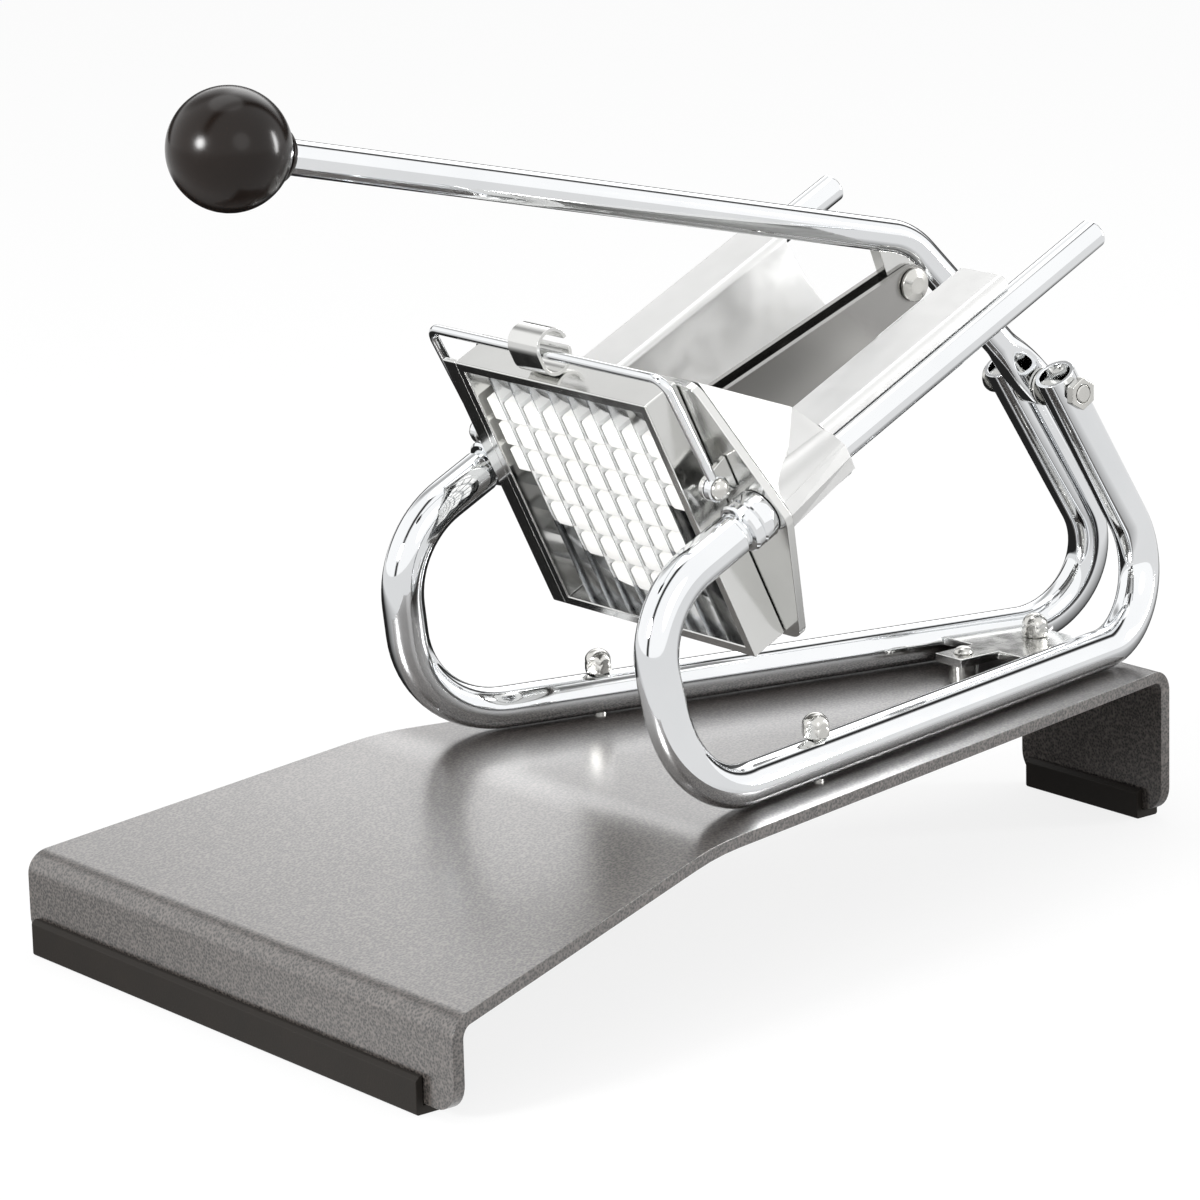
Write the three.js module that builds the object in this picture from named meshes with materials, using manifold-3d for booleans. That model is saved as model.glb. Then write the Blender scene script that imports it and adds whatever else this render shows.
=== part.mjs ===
// French fry cutter: a lever drives a pegged pusher down an inclined trough and through a
// blade grid, all carried by two bent tubes on a folded steel base.
// Millimetres. +X runs from the blade grid to the lever pivot, +Y to the far side, +Z up.
import * as THREE from 'three';
import { mergeVertices } from 'three/addons/utils/BufferGeometryUtils.js';
import Module from 'manifold-3d';

const wasm = await Module();
wasm.setup();

// Sizes shared by many pieces
const seatGap = 0.3;
const runningGap = 0.5;
const cutOverrun = 3;
const roundSides = 20;
const smallSides = 12;
const bendSteps = 6;
const arcSteps = 5;

// Base sheet
const baseLength = 367;
const baseFrontWidth = 228;
const baseRearWidth = 69;
const baseSheet = 4;
const baseBendRadius = 6;
const baseCornerRadius = 9;
const frontPanelLength = 122;
const frontTopHeight = 32.5;
const rearTopHeight = 54.5;

// Rubber strips that grip the lower edges of the base
const rubberSole = 3.2;
const rubberWall = 2.6;
const frontRubberHeight = 12;
const frontRubberLength = 208;
const frontRubberShift = 5;
const rearRubberHeight = 10.5;
const rearRubberLength = 56;
const rearRubberShift = 2;

// Inclined head: its origin is the middle of the blade grid's front face
const headX = 150.6;
const headZ = 140.5;
const headTilt = THREE.MathUtils.degToRad(25.8);

// Bent side tubes
const tubeRadius = 7;
const tubeWall = 1.5;
const tubeSides = 16;
const tubeBoreSides = 8;
const tubeStraightEnd = 40;
const tubeFrontBend = 31;
const tubeLowerBend = 36;
const tubeRearBend = 27;
const tubeLowerX = 125.4;
const tubeLowerY = 69.5;
const tubeOverhang = 29;
const tubeRearY = 11;
const tubeTopY = 12.6;
const tubePastPivot = 7;

// Guide rods and the collars that join them to the side tubes
const rodRadius = 5;
const rodFromGrid = 15.5;
const rodHeight = 2;
const rodTop = 172;
const rodInTube = 12;
const rodChamfer = 1;
const collarRadius = 8.5;
const collarNeckRadius = 6;
const collarNeckLength = 2.4;
const collarLength = 12.4;
const collarChamfer = 1.2;

// Head plate and the housing behind it
const plateThickness = 3;
const plateTopRim = 2;
const plateBottomRim = 5;
const plateEndRim = 10;
const plateSideRim = 11;
const plateMidHeight = 0;
const plateCornerRadius = 6;
const housingLength = 29;
const housingTopRim = 10;
const housingRearRise = 5.3;
const housingTipInset = 0.9;
const housingEarRadius = 9;
const housingFloor = 5;

// Blade grid: square cells, two layers of blades in a box frame
const cellPitch = 10;
const cellsAcross = 9;
const bladeThickness = 0.9;
const bladeDepth = 5.6;
const bladeHeader = 1.2;
const bladeInset = 1.4;
const gridWall = 3.5;
const gridDepth = 14;
const gridFlangeWidth = 6.5;
const gridFlangeThickness = 1.8;

// Potato trough
const troughSheet = 1.5;
const troughInset = 2;
const troughFlangeTop = 12;
const troughFloorInset = 10;
const troughFlatHalf = 1;
const troughLip = 1;
const troughEnd = 132;
const troughBend = 2;

// Pusher, its pegs and yoke
const pusherFront = 19;
const pusherSlab = 10;
const pusherTopInset = 10.5;
const pegRelief = 1.6;
const pegTipFromGrid = 2;
const pegOverhang = 2;
const yokeSheet = 3;
const yokeHalfHeight = 14;
const yokeHalfWidth = 19;
const yokeCheekGap = 6;
const yokeCheekSheet = 2.5;
const yokeReach = 9;
const yokePinStandoff = 12.6;
const yokeScrewSide = 14;
const yokeScrewRadius = 2.5;
const yokeScrewHeadRadius = 4.2;
const yokeScrewHead = 2.4;
const yokeScrewLength = 7;
const pusherPinRadius = 2.5;
const pusherPinHeadRadius = 4.6;
const pusherPinHead = 1.6;

// Lever, its knob and the lug that drives the arm
const leverRadius = 5.5;
const leverSides = 16;
const pivotX = 338.6;
const pivotZ = 152.5;
const leverBendX = 281;
const leverBendZ = 210.5;
const leverBendRadius = 28;
const knobX = 13.4;
const knobZ = 272.6;
const knobRadius = 19;
const knobFaceFromCentre = 17.4;
const knobBoreDepth = 16;
const knobRingRadius = 8.5;
const knobRingLength = 2.2;
const tongueThickness = 8;
const tongueHalfWidth = 6.6;
const tongueLength = 24;
const lugThickness = 5;
const lugRadius = 7.5;
const lugRootWidth = 26;

// Pivot and link fastenings
const pivotBoltRadius = 3;
const pivotHeadRadius = 5.6;
const pivotHeadHeight = 3.4;
const washerRadius = 6.5;
const linkPinX = 278.7;
const linkPinZ = 195.8;
const linkPinRadius = 2.8;
const linkPinHeadRadius = 5.6;
const linkPinHead = 2.4;

// Arm between lever and pusher
const armSheet = 2.2;
const armTop = 10;
const armFloorGap = 9;
const armFrontReach = 6;
const armEyeRadius = 6.6;
const armNeck = 20;
const armSlotDrop = 16;
const armSlotForward = 2;
const armSlotBack = 0.4;
const armSpacerRadius = 4;
const armSpacerFromPin = 44;

// Wire bail, its lugs and pins, and the rolled clip
const bailWire = 1.6;
const bailSides = 8;
const bailSideReach = 11.1;
const bailTopReach = 9.5;
const bailPlane = 3.2;
const bailPivotForward = 5;
const bailPivotHeight = 16;
const bailCornerRadius = 5;
const bailEyeRadius = 4.2;
const bailLugSheet = 2;
const bailLugHalfHeight = 6;
const bailPinRadius = 2;
const bailPinHeadRadius = 3.6;
const bailPinHead = 2.2;
const clipSheet = 1.2;
const clipWidth = 15;
const clipShift = 6;
const clipHalfDepth = 5.6;
const clipRise = 6.6;

// Fixings on the base
const frontBoltX = 190;
const boltRadius = 2.5;
const boltHeadRadius = 4.8;
const boltHeadHeight = 3;
const domeRadius = 4.6;
const domeCollar = 3.2;
const strapSheet = 3;
const strapLength = 49;
const strapTongueLength = 17;
const strapTongueHalfWidth = 6.5;
const strapFromEdge = 21;
const strapBoltInset = 9;
const strapScrewInset = 7;
const strapScrewHeadRadius = 3.4;
const strapScrewHead = 2.2;
const strapSpacerRadius = 5;

// Places that several pieces share, worked out from the sizes above
const gridHalf = cellPitch * cellsAcross / 2;
const gridOuter = gridHalf + gridWall;
const rodSide = gridOuter + rodFromGrid;
const plateTop = gridHalf + plateTopRim;
const plateBottom = gridHalf + plateBottomRim;
const plateEndHalfWidth = gridHalf + plateEndRim;
const plateMidHalfWidth = rodSide + plateSideRim;
const troughHalfWidth = gridHalf - troughInset;
const troughBottom = troughFloorInset - gridHalf;
const troughCornerRadius = troughHalfWidth - troughFlatHalf;
const troughFlangeSide = rodSide + troughLip;
const housingTopHalfWidth = troughHalfWidth + housingTopRim;
const housingRearTop = troughFlangeTop + housingRearRise;
const pusherTop = gridHalf - pusherTopInset;
const pegSide = cellPitch - pegRelief;
const bailSide = gridOuter + bailSideReach;
const bailTop = gridOuter + bailTopReach;
const clipTop = bailTop + clipRise;
const plateFront = gridDepth;
const plateBack = plateFront + plateThickness;
const housingFront = plateBack + seatGap;
const housingRear = housingFront + housingLength;
const troughFront = housingRear + seatGap;
const collarFront = plateFront - seatGap - collarLength;
const tubeEnd = collarFront - seatGap;
const armBottom = -troughBottom - armFloorGap;
const tubeAxisHeight = rearTopHeight + tubeRadius + seatGap;
const pusherBack = pusherFront + pusherSlab;
const clipBottom = gridOuter + seatGap;
const armPlateInner = lugThickness / 2 + seatGap;
const armPlateOuter = armPlateInner + armSheet;
const domeTopOffset = domeCollar + domeRadius;
const tubeRearX = baseLength + tubeOverhang;
const strapRearX = baseLength - strapFromEdge;
const strapFrontX = strapRearX - strapLength;
const strapShoulderX = strapFrontX + strapTongueLength;
const strapBoltX = strapRearX - strapBoltInset;
const strapScrewX = strapFrontX + strapScrewInset;

// A place given in the head's frame: along the rods, across, and up square to the rods
function headPoint(along, side, height) {
  const turned = new THREE.Vector3(along, side, height);
  turned.applyAxisAngle(new THREE.Vector3(0, 1, 0), -headTilt);
  return turned.add(new THREE.Vector3(headX, 0, headZ));
}

// The same change of frame the other way, for points in the plane of the lever
function toHeadPlane(x, z) {
  const local = new THREE.Vector3(x - headX, 0, z - headZ);
  local.applyAxisAngle(new THREE.Vector3(0, 1, 0), headTilt);
  return new THREE.Vector2(local.x, local.z);
}

const linkPin = toHeadPlane(linkPinX, linkPinZ);
const pusherPinAlong = pusherBack + yokePinStandoff;

// Joining and cutting of closed meshes
function solid(geometry) {
  const bare = geometry.clone();
  bare.deleteAttribute('normal');
  bare.deleteAttribute('uv');
  const merged = mergeVertices(bare);
  return new wasm.Manifold(new wasm.Mesh({
    numProp: 3,
    vertProperties: merged.attributes.position.array,
    triVerts: new Uint32Array(merged.index.array),
  }));
}

function surface(manifold) {
  const mesh = manifold.getMesh();
  const geometry = new THREE.BufferGeometry();
  geometry.setAttribute('position', new THREE.BufferAttribute(mesh.vertProperties, 3));
  geometry.setIndex(new THREE.BufferAttribute(mesh.triVerts, 1));
  geometry.computeVertexNormals();
  return geometry;
}

function join(first, ...others) {
  return surface(others.reduce((sum, other) => sum.add(solid(other)), solid(first)));
}

function cut(first, ...tools) {
  return surface(tools.reduce((rest, tool) => rest.subtract(solid(tool)), solid(first)));
}

function common(first, second) {
  return surface(solid(first).intersect(solid(second)));
}

// Plain forms
function box(length, width, height, x, y, z) {
  return new THREE.BoxGeometry(length, width, height).translate(x, y, z);
}

function pinAlongX(radius, from, to, y, z, sides = roundSides) {
  const pin = new THREE.CylinderGeometry(radius, radius, to - from, sides);
  return pin.rotateZ(Math.PI / 2).translate((from + to) / 2, y, z);
}

function pinAlongY(radius, from, to, x, z, sides = roundSides) {
  const pin = new THREE.CylinderGeometry(radius, radius, to - from, sides);
  return pin.translate(x, (from + to) / 2, z);
}

function pinAlongZ(radius, from, to, x, y, sides = roundSides) {
  const pin = new THREE.CylinderGeometry(radius, radius, to - from, sides);
  return pin.rotateX(Math.PI / 2).translate(x, y, (from + to) / 2);
}

// A revolved profile of radius and distance pairs, with its axis along +X, +Y or +Z
function turned(pairs, axis, sides = roundSides) {
  const profile = pairs.map(([radius, along]) => new THREE.Vector2(radius, along));
  const lathe = new THREE.LatheGeometry(profile, sides);
  if (axis === 'x') lathe.rotateZ(-Math.PI / 2);
  if (axis === 'z') lathe.rotateX(Math.PI / 2);
  return lathe;
}

// A flat shape drawn in the XZ plane, extruded across Y between two sides
function acrossY(shape, from, to) {
  const geometry = new THREE.ExtrudeGeometry(shape, {
    depth: to - from,
    bevelEnabled: false,
    curveSegments: arcSteps,
  });
  return geometry.rotateX(Math.PI / 2).translate(0, to, 0);
}

// A flat shape drawn in the YZ plane, extruded along X
function alongX(shape, from, to, curveSegments = arcSteps) {
  const geometry = new THREE.ExtrudeGeometry(shape, {
    depth: to - from,
    bevelEnabled: false,
    curveSegments,
  });
  return geometry.rotateX(Math.PI / 2).rotateZ(Math.PI / 2).translate(from, 0, 0);
}

// A flat shape drawn in the XY plane, extruded up Z
function alongZ(shape, from, to) {
  const geometry = new THREE.ExtrudeGeometry(shape, {
    depth: to - from,
    bevelEnabled: false,
    curveSegments: arcSteps,
  });
  return geometry.translate(0, 0, from);
}

function polygon(points) {
  return new THREE.Shape(points.map(([a, b]) => new THREE.Vector2(a, b)));
}

// Corners rounded to their bend radii, as stations that each hold a point and a direction
function routeStations(corners, radii, steps = bendSteps) {
  const first = corners[1].clone().sub(corners[0]).normalize();
  const stations = [{ point: corners[0].clone(), direction: first }];
  for (let i = 1; i < corners.length - 1; i += 1) {
    const before = corners[i - 1].clone().sub(corners[i]).normalize();
    const after = corners[i + 1].clone().sub(corners[i]).normalize();
    const half = before.angleTo(after) / 2;
    const centre = before.clone().add(after).normalize();
    centre.multiplyScalar(radii[i - 1] / Math.sin(half)).add(corners[i]);
    const start = before.clone().multiplyScalar(radii[i - 1] / Math.tan(half)).add(corners[i]);
    const spoke = start.sub(centre);
    const axis = after.clone().cross(before).normalize();
    for (let k = 0; k <= steps; k += 1) {
      const angle = (Math.PI - 2 * half) * k / steps;
      stations.push({
        point: spoke.clone().applyAxisAngle(axis, angle).add(centre),
        direction: before.clone().negate().applyAxisAngle(axis, angle),
      });
    }
  }
  const last = corners[corners.length - 1];
  const end = last.clone().sub(corners[corners.length - 2]).normalize();
  stations.push({ point: last.clone(), direction: end });
  return stations;
}

// A curve whose equal steps land on the stations, so straight runs take no extra steps
class StationCurve extends THREE.Curve {
  constructor(stations) {
    super();
    this.stations = stations;
  }

  getPoint(t, target = new THREE.Vector3()) {
    const place = t * (this.stations.length - 1);
    const index = Math.min(Math.floor(place), this.stations.length - 2);
    const { point } = this.stations[index];
    return target.lerpVectors(point, this.stations[index + 1].point, place - index);
  }

  getUtoTmapping(u) {
    return u;
  }
}

// A round bar or tube swept along rounded corners
function sweep(corners, radii, radius, sides, boreRadius = 0, boreSides = 0, steps = bendSteps) {
  const curve = new StationCurve(routeStations(corners, radii, steps));
  const ring = (r, count) => Array.from({ length: count }, (_, i) => {
    const angle = 2 * Math.PI * i / count;
    return new THREE.Vector2(r * Math.cos(angle), r * Math.sin(angle));
  });
  const section = new THREE.Shape(ring(radius, sides));
  if (boreRadius > 0) section.holes.push(new THREE.Path(ring(boreRadius, boreSides)));
  return new THREE.ExtrudeGeometry(section, {
    steps: curve.stations.length - 1,
    extrudePath: curve,
    bevelEnabled: false,
  });
}

// The outline of a bent sheet: its middle line, offset to both faces
function sheetOutline(points, radii, thickness) {
  const corners = points.map(([a, b]) => new THREE.Vector3(a, b, 0));
  const stations = routeStations(corners, radii);
  const offset = (sign) => stations.map(({ point, direction }) => new THREE.Vector2(
    point.x - sign * direction.y * thickness / 2,
    point.y + sign * direction.x * thickness / 2,
  ));
  return new THREE.Shape([...offset(1), ...offset(-1).reverse()]);
}

// A solid between two outlines with the same number of points, at two places along X
function loft(outlineFrom, from, outlineTo, to) {
  const count = outlineFrom.length;
  const positions = [];
  outlineFrom.forEach(([y, z]) => positions.push(from, y, z));
  outlineTo.forEach(([y, z]) => positions.push(to, y, z));
  const index = [];
  for (let i = 0; i < count; i += 1) {
    const next = (i + 1) % count;
    index.push(i, next, count + i, next, count + next, count + i);
  }
  const faces = (outline) => THREE.ShapeUtils.triangulateShape(
    outline.map(([y, z]) => new THREE.Vector2(y, z)),
    [],
  );
  faces(outlineFrom).forEach(([a, b, c]) => index.push(a, c, b));
  faces(outlineTo).forEach(([a, b, c]) => index.push(count + a, count + b, count + c));
  const geometry = new THREE.BufferGeometry();
  geometry.setAttribute('position', new THREE.Float32BufferAttribute(positions, 3));
  geometry.setIndex(index);
  return geometry;
}

// Rectangle in the YZ plane with rounded lower corners, open to any height at the top
function roundBottomShape(halfWidth, bottom, top, radius) {
  const shape = new THREE.Shape();
  shape.moveTo(-halfWidth, top);
  shape.lineTo(-halfWidth, bottom + radius);
  shape.absarc(-halfWidth + radius, bottom + radius, radius, Math.PI, 1.5 * Math.PI, false);
  shape.absarc(halfWidth - radius, bottom + radius, radius, 1.5 * Math.PI, 2 * Math.PI, false);
  shape.lineTo(halfWidth, top);
  return shape;
}

// Base plate: one folded sheet, tapered in plan, with rounded lower corners on both flanges
const baseHalfWidthAt = (x) => {
  const along = x / baseLength;
  return (baseFrontWidth * (1 - along) + baseRearWidth * along) / 2;
};

function basePlate() {
  const middle = baseSheet / 2;
  const fold = [frontPanelLength, rearTopHeight - middle];
  const profile = sheetOutline([
    [middle, rubberSole],
    [middle, frontTopHeight - middle],
    fold,
    [baseLength - middle, rearTopHeight - middle],
    [baseLength - middle, rubberSole],
  ], [baseBendRadius, baseFrontWidth / 2, baseBendRadius], baseSheet);
  const sheet = acrossY(profile, -baseFrontWidth / 2, baseFrontWidth / 2);
  const plan = polygon([
    [-cutOverrun, -baseHalfWidthAt(-cutOverrun)],
    [baseLength + cutOverrun, -baseHalfWidthAt(baseLength + cutOverrun)],
    [baseLength + cutOverrun, baseHalfWidthAt(baseLength + cutOverrun)],
    [-cutOverrun, baseHalfWidthAt(-cutOverrun)],
  ]);
  const tapered = common(sheet, alongZ(plan, -cutOverrun, rearTopHeight + cutOverrun));
  const flanges = [
    { from: -cutOverrun, to: baseSheet + cutOverrun, half: baseHalfWidthAt(baseSheet) },
    {
      from: baseLength - baseSheet - cutOverrun,
      to: baseLength + cutOverrun,
      half: baseHalfWidthAt(baseLength),
    },
  ];
  const corners = flanges.flatMap(({ from, to, half }) => [-1, 1].map((side) => {
    const notch = new THREE.Shape();
    const reach = side * (half + cutOverrun);
    const inner = side * (half - baseCornerRadius);
    notch.moveTo(inner, rubberSole - cutOverrun);
    notch.lineTo(reach, rubberSole - cutOverrun);
    notch.lineTo(reach, rubberSole + baseCornerRadius);
    notch.lineTo(side * half, rubberSole + baseCornerRadius);
    const startAngle = side > 0 ? 0 : Math.PI;
    notch.absarc(inner, rubberSole + baseCornerRadius, baseCornerRadius, startAngle,
      1.5 * Math.PI, side > 0);
    return alongX(notch, from, to);
  }));
  const boltHoles = [-1, 1].map((side) => pinAlongZ(boltRadius + seatGap,
    rearTopHeight - baseSheet - cutOverrun, rearTopHeight + cutOverrun,
    frontBoltX, side * tubeSideAt(frontBoltX), smallSides));
  const strapHoles = [strapBoltX, strapScrewX].map((x) => pinAlongZ(boltRadius + seatGap,
    rearTopHeight - baseSheet - cutOverrun, rearTopHeight + cutOverrun, x, 0, smallSides));
  return cut(tapered, ...corners, ...boltHoles, ...strapHoles);
}

// Rubber strip: a U section pushed up over a flange's lower edge
function rubberStrip(flangeFrom, height, length, shift) {
  const inner = seatGap + baseSheet / 2;
  const outer = inner + rubberWall;
  const middle = flangeFrom + baseSheet / 2;
  const lip = rubberWall / 2;
  const section = polygon([
    [middle - outer, 0],
    [middle + outer, 0],
    [middle + outer, height - lip],
    [middle + outer - lip, height],
    [middle + inner, height],
    [middle + inner, rubberSole - seatGap],
    [middle - inner, rubberSole - seatGap],
    [middle - inner, height],
    [middle - outer + lip, height],
    [middle - outer, height - lip],
  ]);
  return acrossY(section, shift - length / 2, shift + length / 2);
}

// Side tube: from the collar round the front bend, along the base and up to the lever pivot
function tubeSideAt(x) {
  const along = (x - tubeLowerX) / (tubeRearX - tubeLowerX);
  return tubeLowerY * (1 - along) + tubeRearY * along;
}

function tubeCorners(side) {
  const start = headPoint(tubeEnd, side * rodSide, rodHeight);
  const front = headPoint(tubeEnd - tubeStraightEnd, side * rodSide, rodHeight);
  const lower = new THREE.Vector3(tubeLowerX, side * tubeLowerY, tubeAxisHeight);
  const rear = new THREE.Vector3(tubeRearX, side * tubeRearY, tubeAxisHeight);
  const pivot = new THREE.Vector3(pivotX, side * tubeTopY, pivotZ);
  const rise = pivot.clone().sub(rear).normalize();
  return [start, front, lower, rear, pivot.addScaledVector(rise, tubePastPivot)];
}

function sideTube(side) {
  const radii = [tubeFrontBend, tubeLowerBend, tubeRearBend];
  const tube = sweep(tubeCorners(side), radii, tubeRadius, tubeSides,
    tubeRadius - tubeWall, tubeBoreSides);
  const tubeY = side * tubeSideAt(frontBoltX);
  const boltHole = pinAlongZ(boltRadius + seatGap, rearTopHeight - cutOverrun,
    tubeAxisHeight + tubeRadius + cutOverrun, frontBoltX, tubeY, smallSides);
  const reach = tubeRadius + cutOverrun;
  const pivotHole = pinAlongY(pivotBoltRadius + seatGap, side * tubeTopY - reach,
    side * tubeTopY + reach, pivotX, pivotZ, smallSides);
  return cut(tube, boltHole, pivotHole);
}

// Collar between a side tube and the head plate, with a waisted neck against the tube
function collar(side) {
  const bore = rodRadius + seatGap;
  const profile = [
    [bore, 0],
    [collarNeckRadius, 0],
    [collarNeckRadius, collarNeckLength],
    [collarRadius - collarChamfer, collarNeckLength],
    [collarRadius, collarNeckLength + collarChamfer],
    [collarRadius, collarLength - collarChamfer],
    [collarRadius - collarChamfer, collarLength],
    [bore, collarLength],
    [bore, 0],
  ];
  return turned(profile, 'x').translate(collarFront, side * rodSide, rodHeight);
}

function guideRod(side) {
  const from = tubeEnd - rodInTube;
  const profile = [
    [0, from],
    [rodRadius - rodChamfer, from],
    [rodRadius, from + rodChamfer],
    [rodRadius, rodTop - rodChamfer],
    [rodRadius - rodChamfer, rodTop],
    [0, rodTop],
  ];
  return turned(profile, 'x').translate(0, side * rodSide, rodHeight);
}

// Head plate: six sided, widest where the rods pass, with a square window for the potato
function headPlate() {
  const corners = [
    [-plateEndHalfWidth, plateTop],
    [-plateMidHalfWidth, plateMidHeight],
    [-plateEndHalfWidth, -plateBottom],
    [plateEndHalfWidth, -plateBottom],
    [plateMidHalfWidth, plateMidHeight],
    [plateEndHalfWidth, plateTop],
  ].map(([y, z]) => new THREE.Vector3(y, z, 0));
  const middleOfTop = new THREE.Vector3(0, plateTop, 0);
  const ring = [middleOfTop, ...corners, middleOfTop];
  const outline = routeStations(ring, corners.map(() => plateCornerRadius));
  const shape = new THREE.Shape(outline.map(({ point }) => new THREE.Vector2(point.x, point.y)));
  const plate = alongX(shape, plateFront, plateBack);
  const from = plateFront - cutOverrun;
  const to = plateBack + cutOverrun;
  const window = box(to - from, 2 * gridHalf, 2 * gridHalf, (from + to) / 2, 0, 0);
  const rodHoles = [-1, 1].map((side) => pinAlongX(rodRadius + seatGap, from, to,
    side * rodSide, rodHeight));
  return cut(plate, window, ...rodHoles);
}

// Housing: two lofted cheeks with rod sleeves, joined by the floor that carries the pusher
function headHousing() {
  const inner = troughHalfWidth - cutOverrun;
  const earSide = rodSide + housingEarRadius;
  const earSlope = housingEarRadius / 2;
  const lower = rodHeight - housingEarRadius;
  const plateTaper = (plateMidHalfWidth - plateEndHalfWidth) / (plateTop - plateMidHeight);
  const plateEdge = plateMidHalfWidth - seatGap - plateTaper * earSlope;
  const frontOutline = [
    [inner, plateTop - seatGap],
    [plateEndHalfWidth - seatGap, plateTop - seatGap],
    [plateEdge, plateMidHeight + earSlope],
    [plateMidHalfWidth - housingTipInset, plateMidHeight],
    [plateEdge, plateMidHeight - earSlope],
    [rodSide, lower],
    [inner, lower - earSlope],
  ];
  const rearOutline = [
    [inner, housingRearTop],
    [housingTopHalfWidth, housingRearTop],
    [earSide - seatGap, rodHeight + earSlope],
    [earSide, rodHeight],
    [earSide - seatGap, rodHeight - earSlope],
    [rodSide, lower],
    [inner, lower - earSlope],
  ];
  const flip = (outline) => outline.map(([y, z]) => [-y, z]).reverse();
  const wings = [
    loft(frontOutline.slice().reverse(), housingFront, rearOutline.slice().reverse(), housingRear),
    loft(flip(frontOutline).reverse(), housingFront, flip(rearOutline).reverse(), housingRear),
  ];
  const sleeves = [-1, 1].map((side) => pinAlongX(housingEarRadius, housingFront, housingRear,
    side * rodSide, rodHeight));
  const floorShape = roundBottomShape(troughHalfWidth + housingFloor,
    troughBottom - housingFloor, troughFlangeTop, troughCornerRadius + housingFloor);
  const floor = alongX(floorShape, housingFront, housingRear);
  const body = join(floor, ...wings, ...sleeves);
  const from = housingFront - cutOverrun;
  const to = housingRear + cutOverrun;
  const channel = roundBottomShape(troughHalfWidth, troughBottom, plateTop + cutOverrun,
    troughCornerRadius);
  const rodBores = [-1, 1].map((side) => pinAlongX(rodRadius + seatGap, from, to,
    side * rodSide, rodHeight));
  return cut(body, alongX(channel, from, to), ...rodBores);
}

// Trough: one bent sheet with a round bottom, flanges over the rods and short turned lips
function potatoTrough() {
  const half = troughSheet / 2;
  const lipSide = troughFlangeSide - half;
  const flange = troughFlangeTop - half;
  const lipEnd = rodHeight + rodRadius + seatGap;
  const wall = troughHalfWidth + half;
  const floor = troughBottom - half;
  const points = [
    [-lipSide, lipEnd],
    [-lipSide, flange],
    [-wall, flange],
    [-wall, floor],
    [wall, floor],
    [wall, flange],
    [lipSide, flange],
    [lipSide, lipEnd],
  ];
  const round = troughCornerRadius + half;
  const radii = [troughBend, troughBend, round, round, troughBend, troughBend];
  return alongX(sheetOutline(points, radii, troughSheet), troughFront, troughEnd);
}

// Grid frame: a square box with a pull flange on its far side and pockets for the blades
const bladePocket = gridHalf + bladeHeader + seatGap;

function layerBox(layer, halfAcross, halfUp, grow) {
  const from = bladeInset + layer * (bladeDepth + seatGap);
  return box(bladeDepth + 2 * grow, 2 * halfAcross, 2 * halfUp, from + bladeDepth / 2, 0, 0);
}

function gridFrame() {
  const outer = gridOuter;
  const depth = gridDepth - seatGap;
  const frame = box(depth, 2 * outer, 2 * outer, depth / 2, 0, 0);
  const flange = box(gridFlangeThickness, gridFlangeWidth + gridWall, 2 * outer,
    gridFlangeThickness / 2, outer + (gridFlangeWidth - gridWall) / 2, 0);
  const window = box(gridDepth + 2 * cutOverrun, 2 * gridHalf, 2 * gridHalf, depth / 2, 0, 0);
  const bladeSpan = gridHalf - cellPitch + bladeThickness + seatGap;
  const pockets = [
    layerBox(0, bladeSpan, bladePocket, seatGap / 2),
    layerBox(1, bladePocket, bladeSpan, seatGap / 2),
  ];
  return cut(join(frame, flange), window, ...pockets);
}

// Blades of one layer: parallel strips held by a header at each end
function bladeSet(layer, upright) {
  const count = cellsAcross - 1;
  const end = gridHalf + bladeHeader;
  const outermost = (count - 1) * cellPitch / 2 + bladeThickness / 2;
  const centre = bladeInset + layer * (bladeDepth + seatGap) + bladeDepth / 2;
  const strip = (across, up, y, z) => (upright
    ? box(bladeDepth, across, up, centre, y, z)
    : box(bladeDepth, up, across, centre, z, y));
  const blades = Array.from({ length: count }, (_, i) => strip(
    bladeThickness,
    2 * end,
    (i - (count - 1) / 2) * cellPitch,
    0,
  ));
  const headers = [-1, 1].map((side) => strip(2 * outermost, bladeHeader, 0,
    side * (end - bladeHeader / 2)));
  return join(...blades, ...headers);
}

// Pusher: a slab that fills the trough, with a field of square pegs that pass the blades. Each
// lower corner is left without the pegs that would stand too far out of the round bottom
function pusherBlock() {
  const halfWidth = troughHalfWidth - runningGap;
  const outline = roundBottomShape(halfWidth, troughBottom + runningGap, pusherTop,
    troughCornerRadius - runningGap);
  const slab = alongX(outline, pusherFront, pusherBack);
  const pegLength = pusherFront - pegTipFromGrid + cutOverrun;
  const pegMiddle = pegTipFromGrid + pegLength / 2;
  const reach = (cellsAcross - 1) / 2;
  const roundRadius = troughCornerRadius - runningGap;
  const roundSide = halfWidth - roundRadius;
  const roundHeight = troughBottom + runningGap + roundRadius;
  const pegs = [];
  for (let row = -reach; row <= reach; row += 1) {
    for (let column = -reach; column <= reach; column += 1) {
      const past = Math.abs(column) * cellPitch + pegSide / 2 - roundSide;
      const under = Math.min(row * cellPitch - pegSide / 2 - roundHeight, 0);
      if (Math.hypot(past, under) - roundRadius <= pegOverhang) {
        pegs.push(box(pegLength, pegSide, pegSide, pegMiddle, column * cellPitch, row * cellPitch));
      }
    }
  }
  const field = common(join(...pegs), alongX(outline, 0, pusherBack));
  const from = pusherBack - yokeScrewLength;
  const screwHoles = [-1, 1].map((side) => pinAlongX(yokeScrewRadius + seatGap, from,
    pusherBack + cutOverrun, side * yokeScrewSide, 0, smallSides));
  return cut(join(slab, field), ...screwHoles);
}

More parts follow.
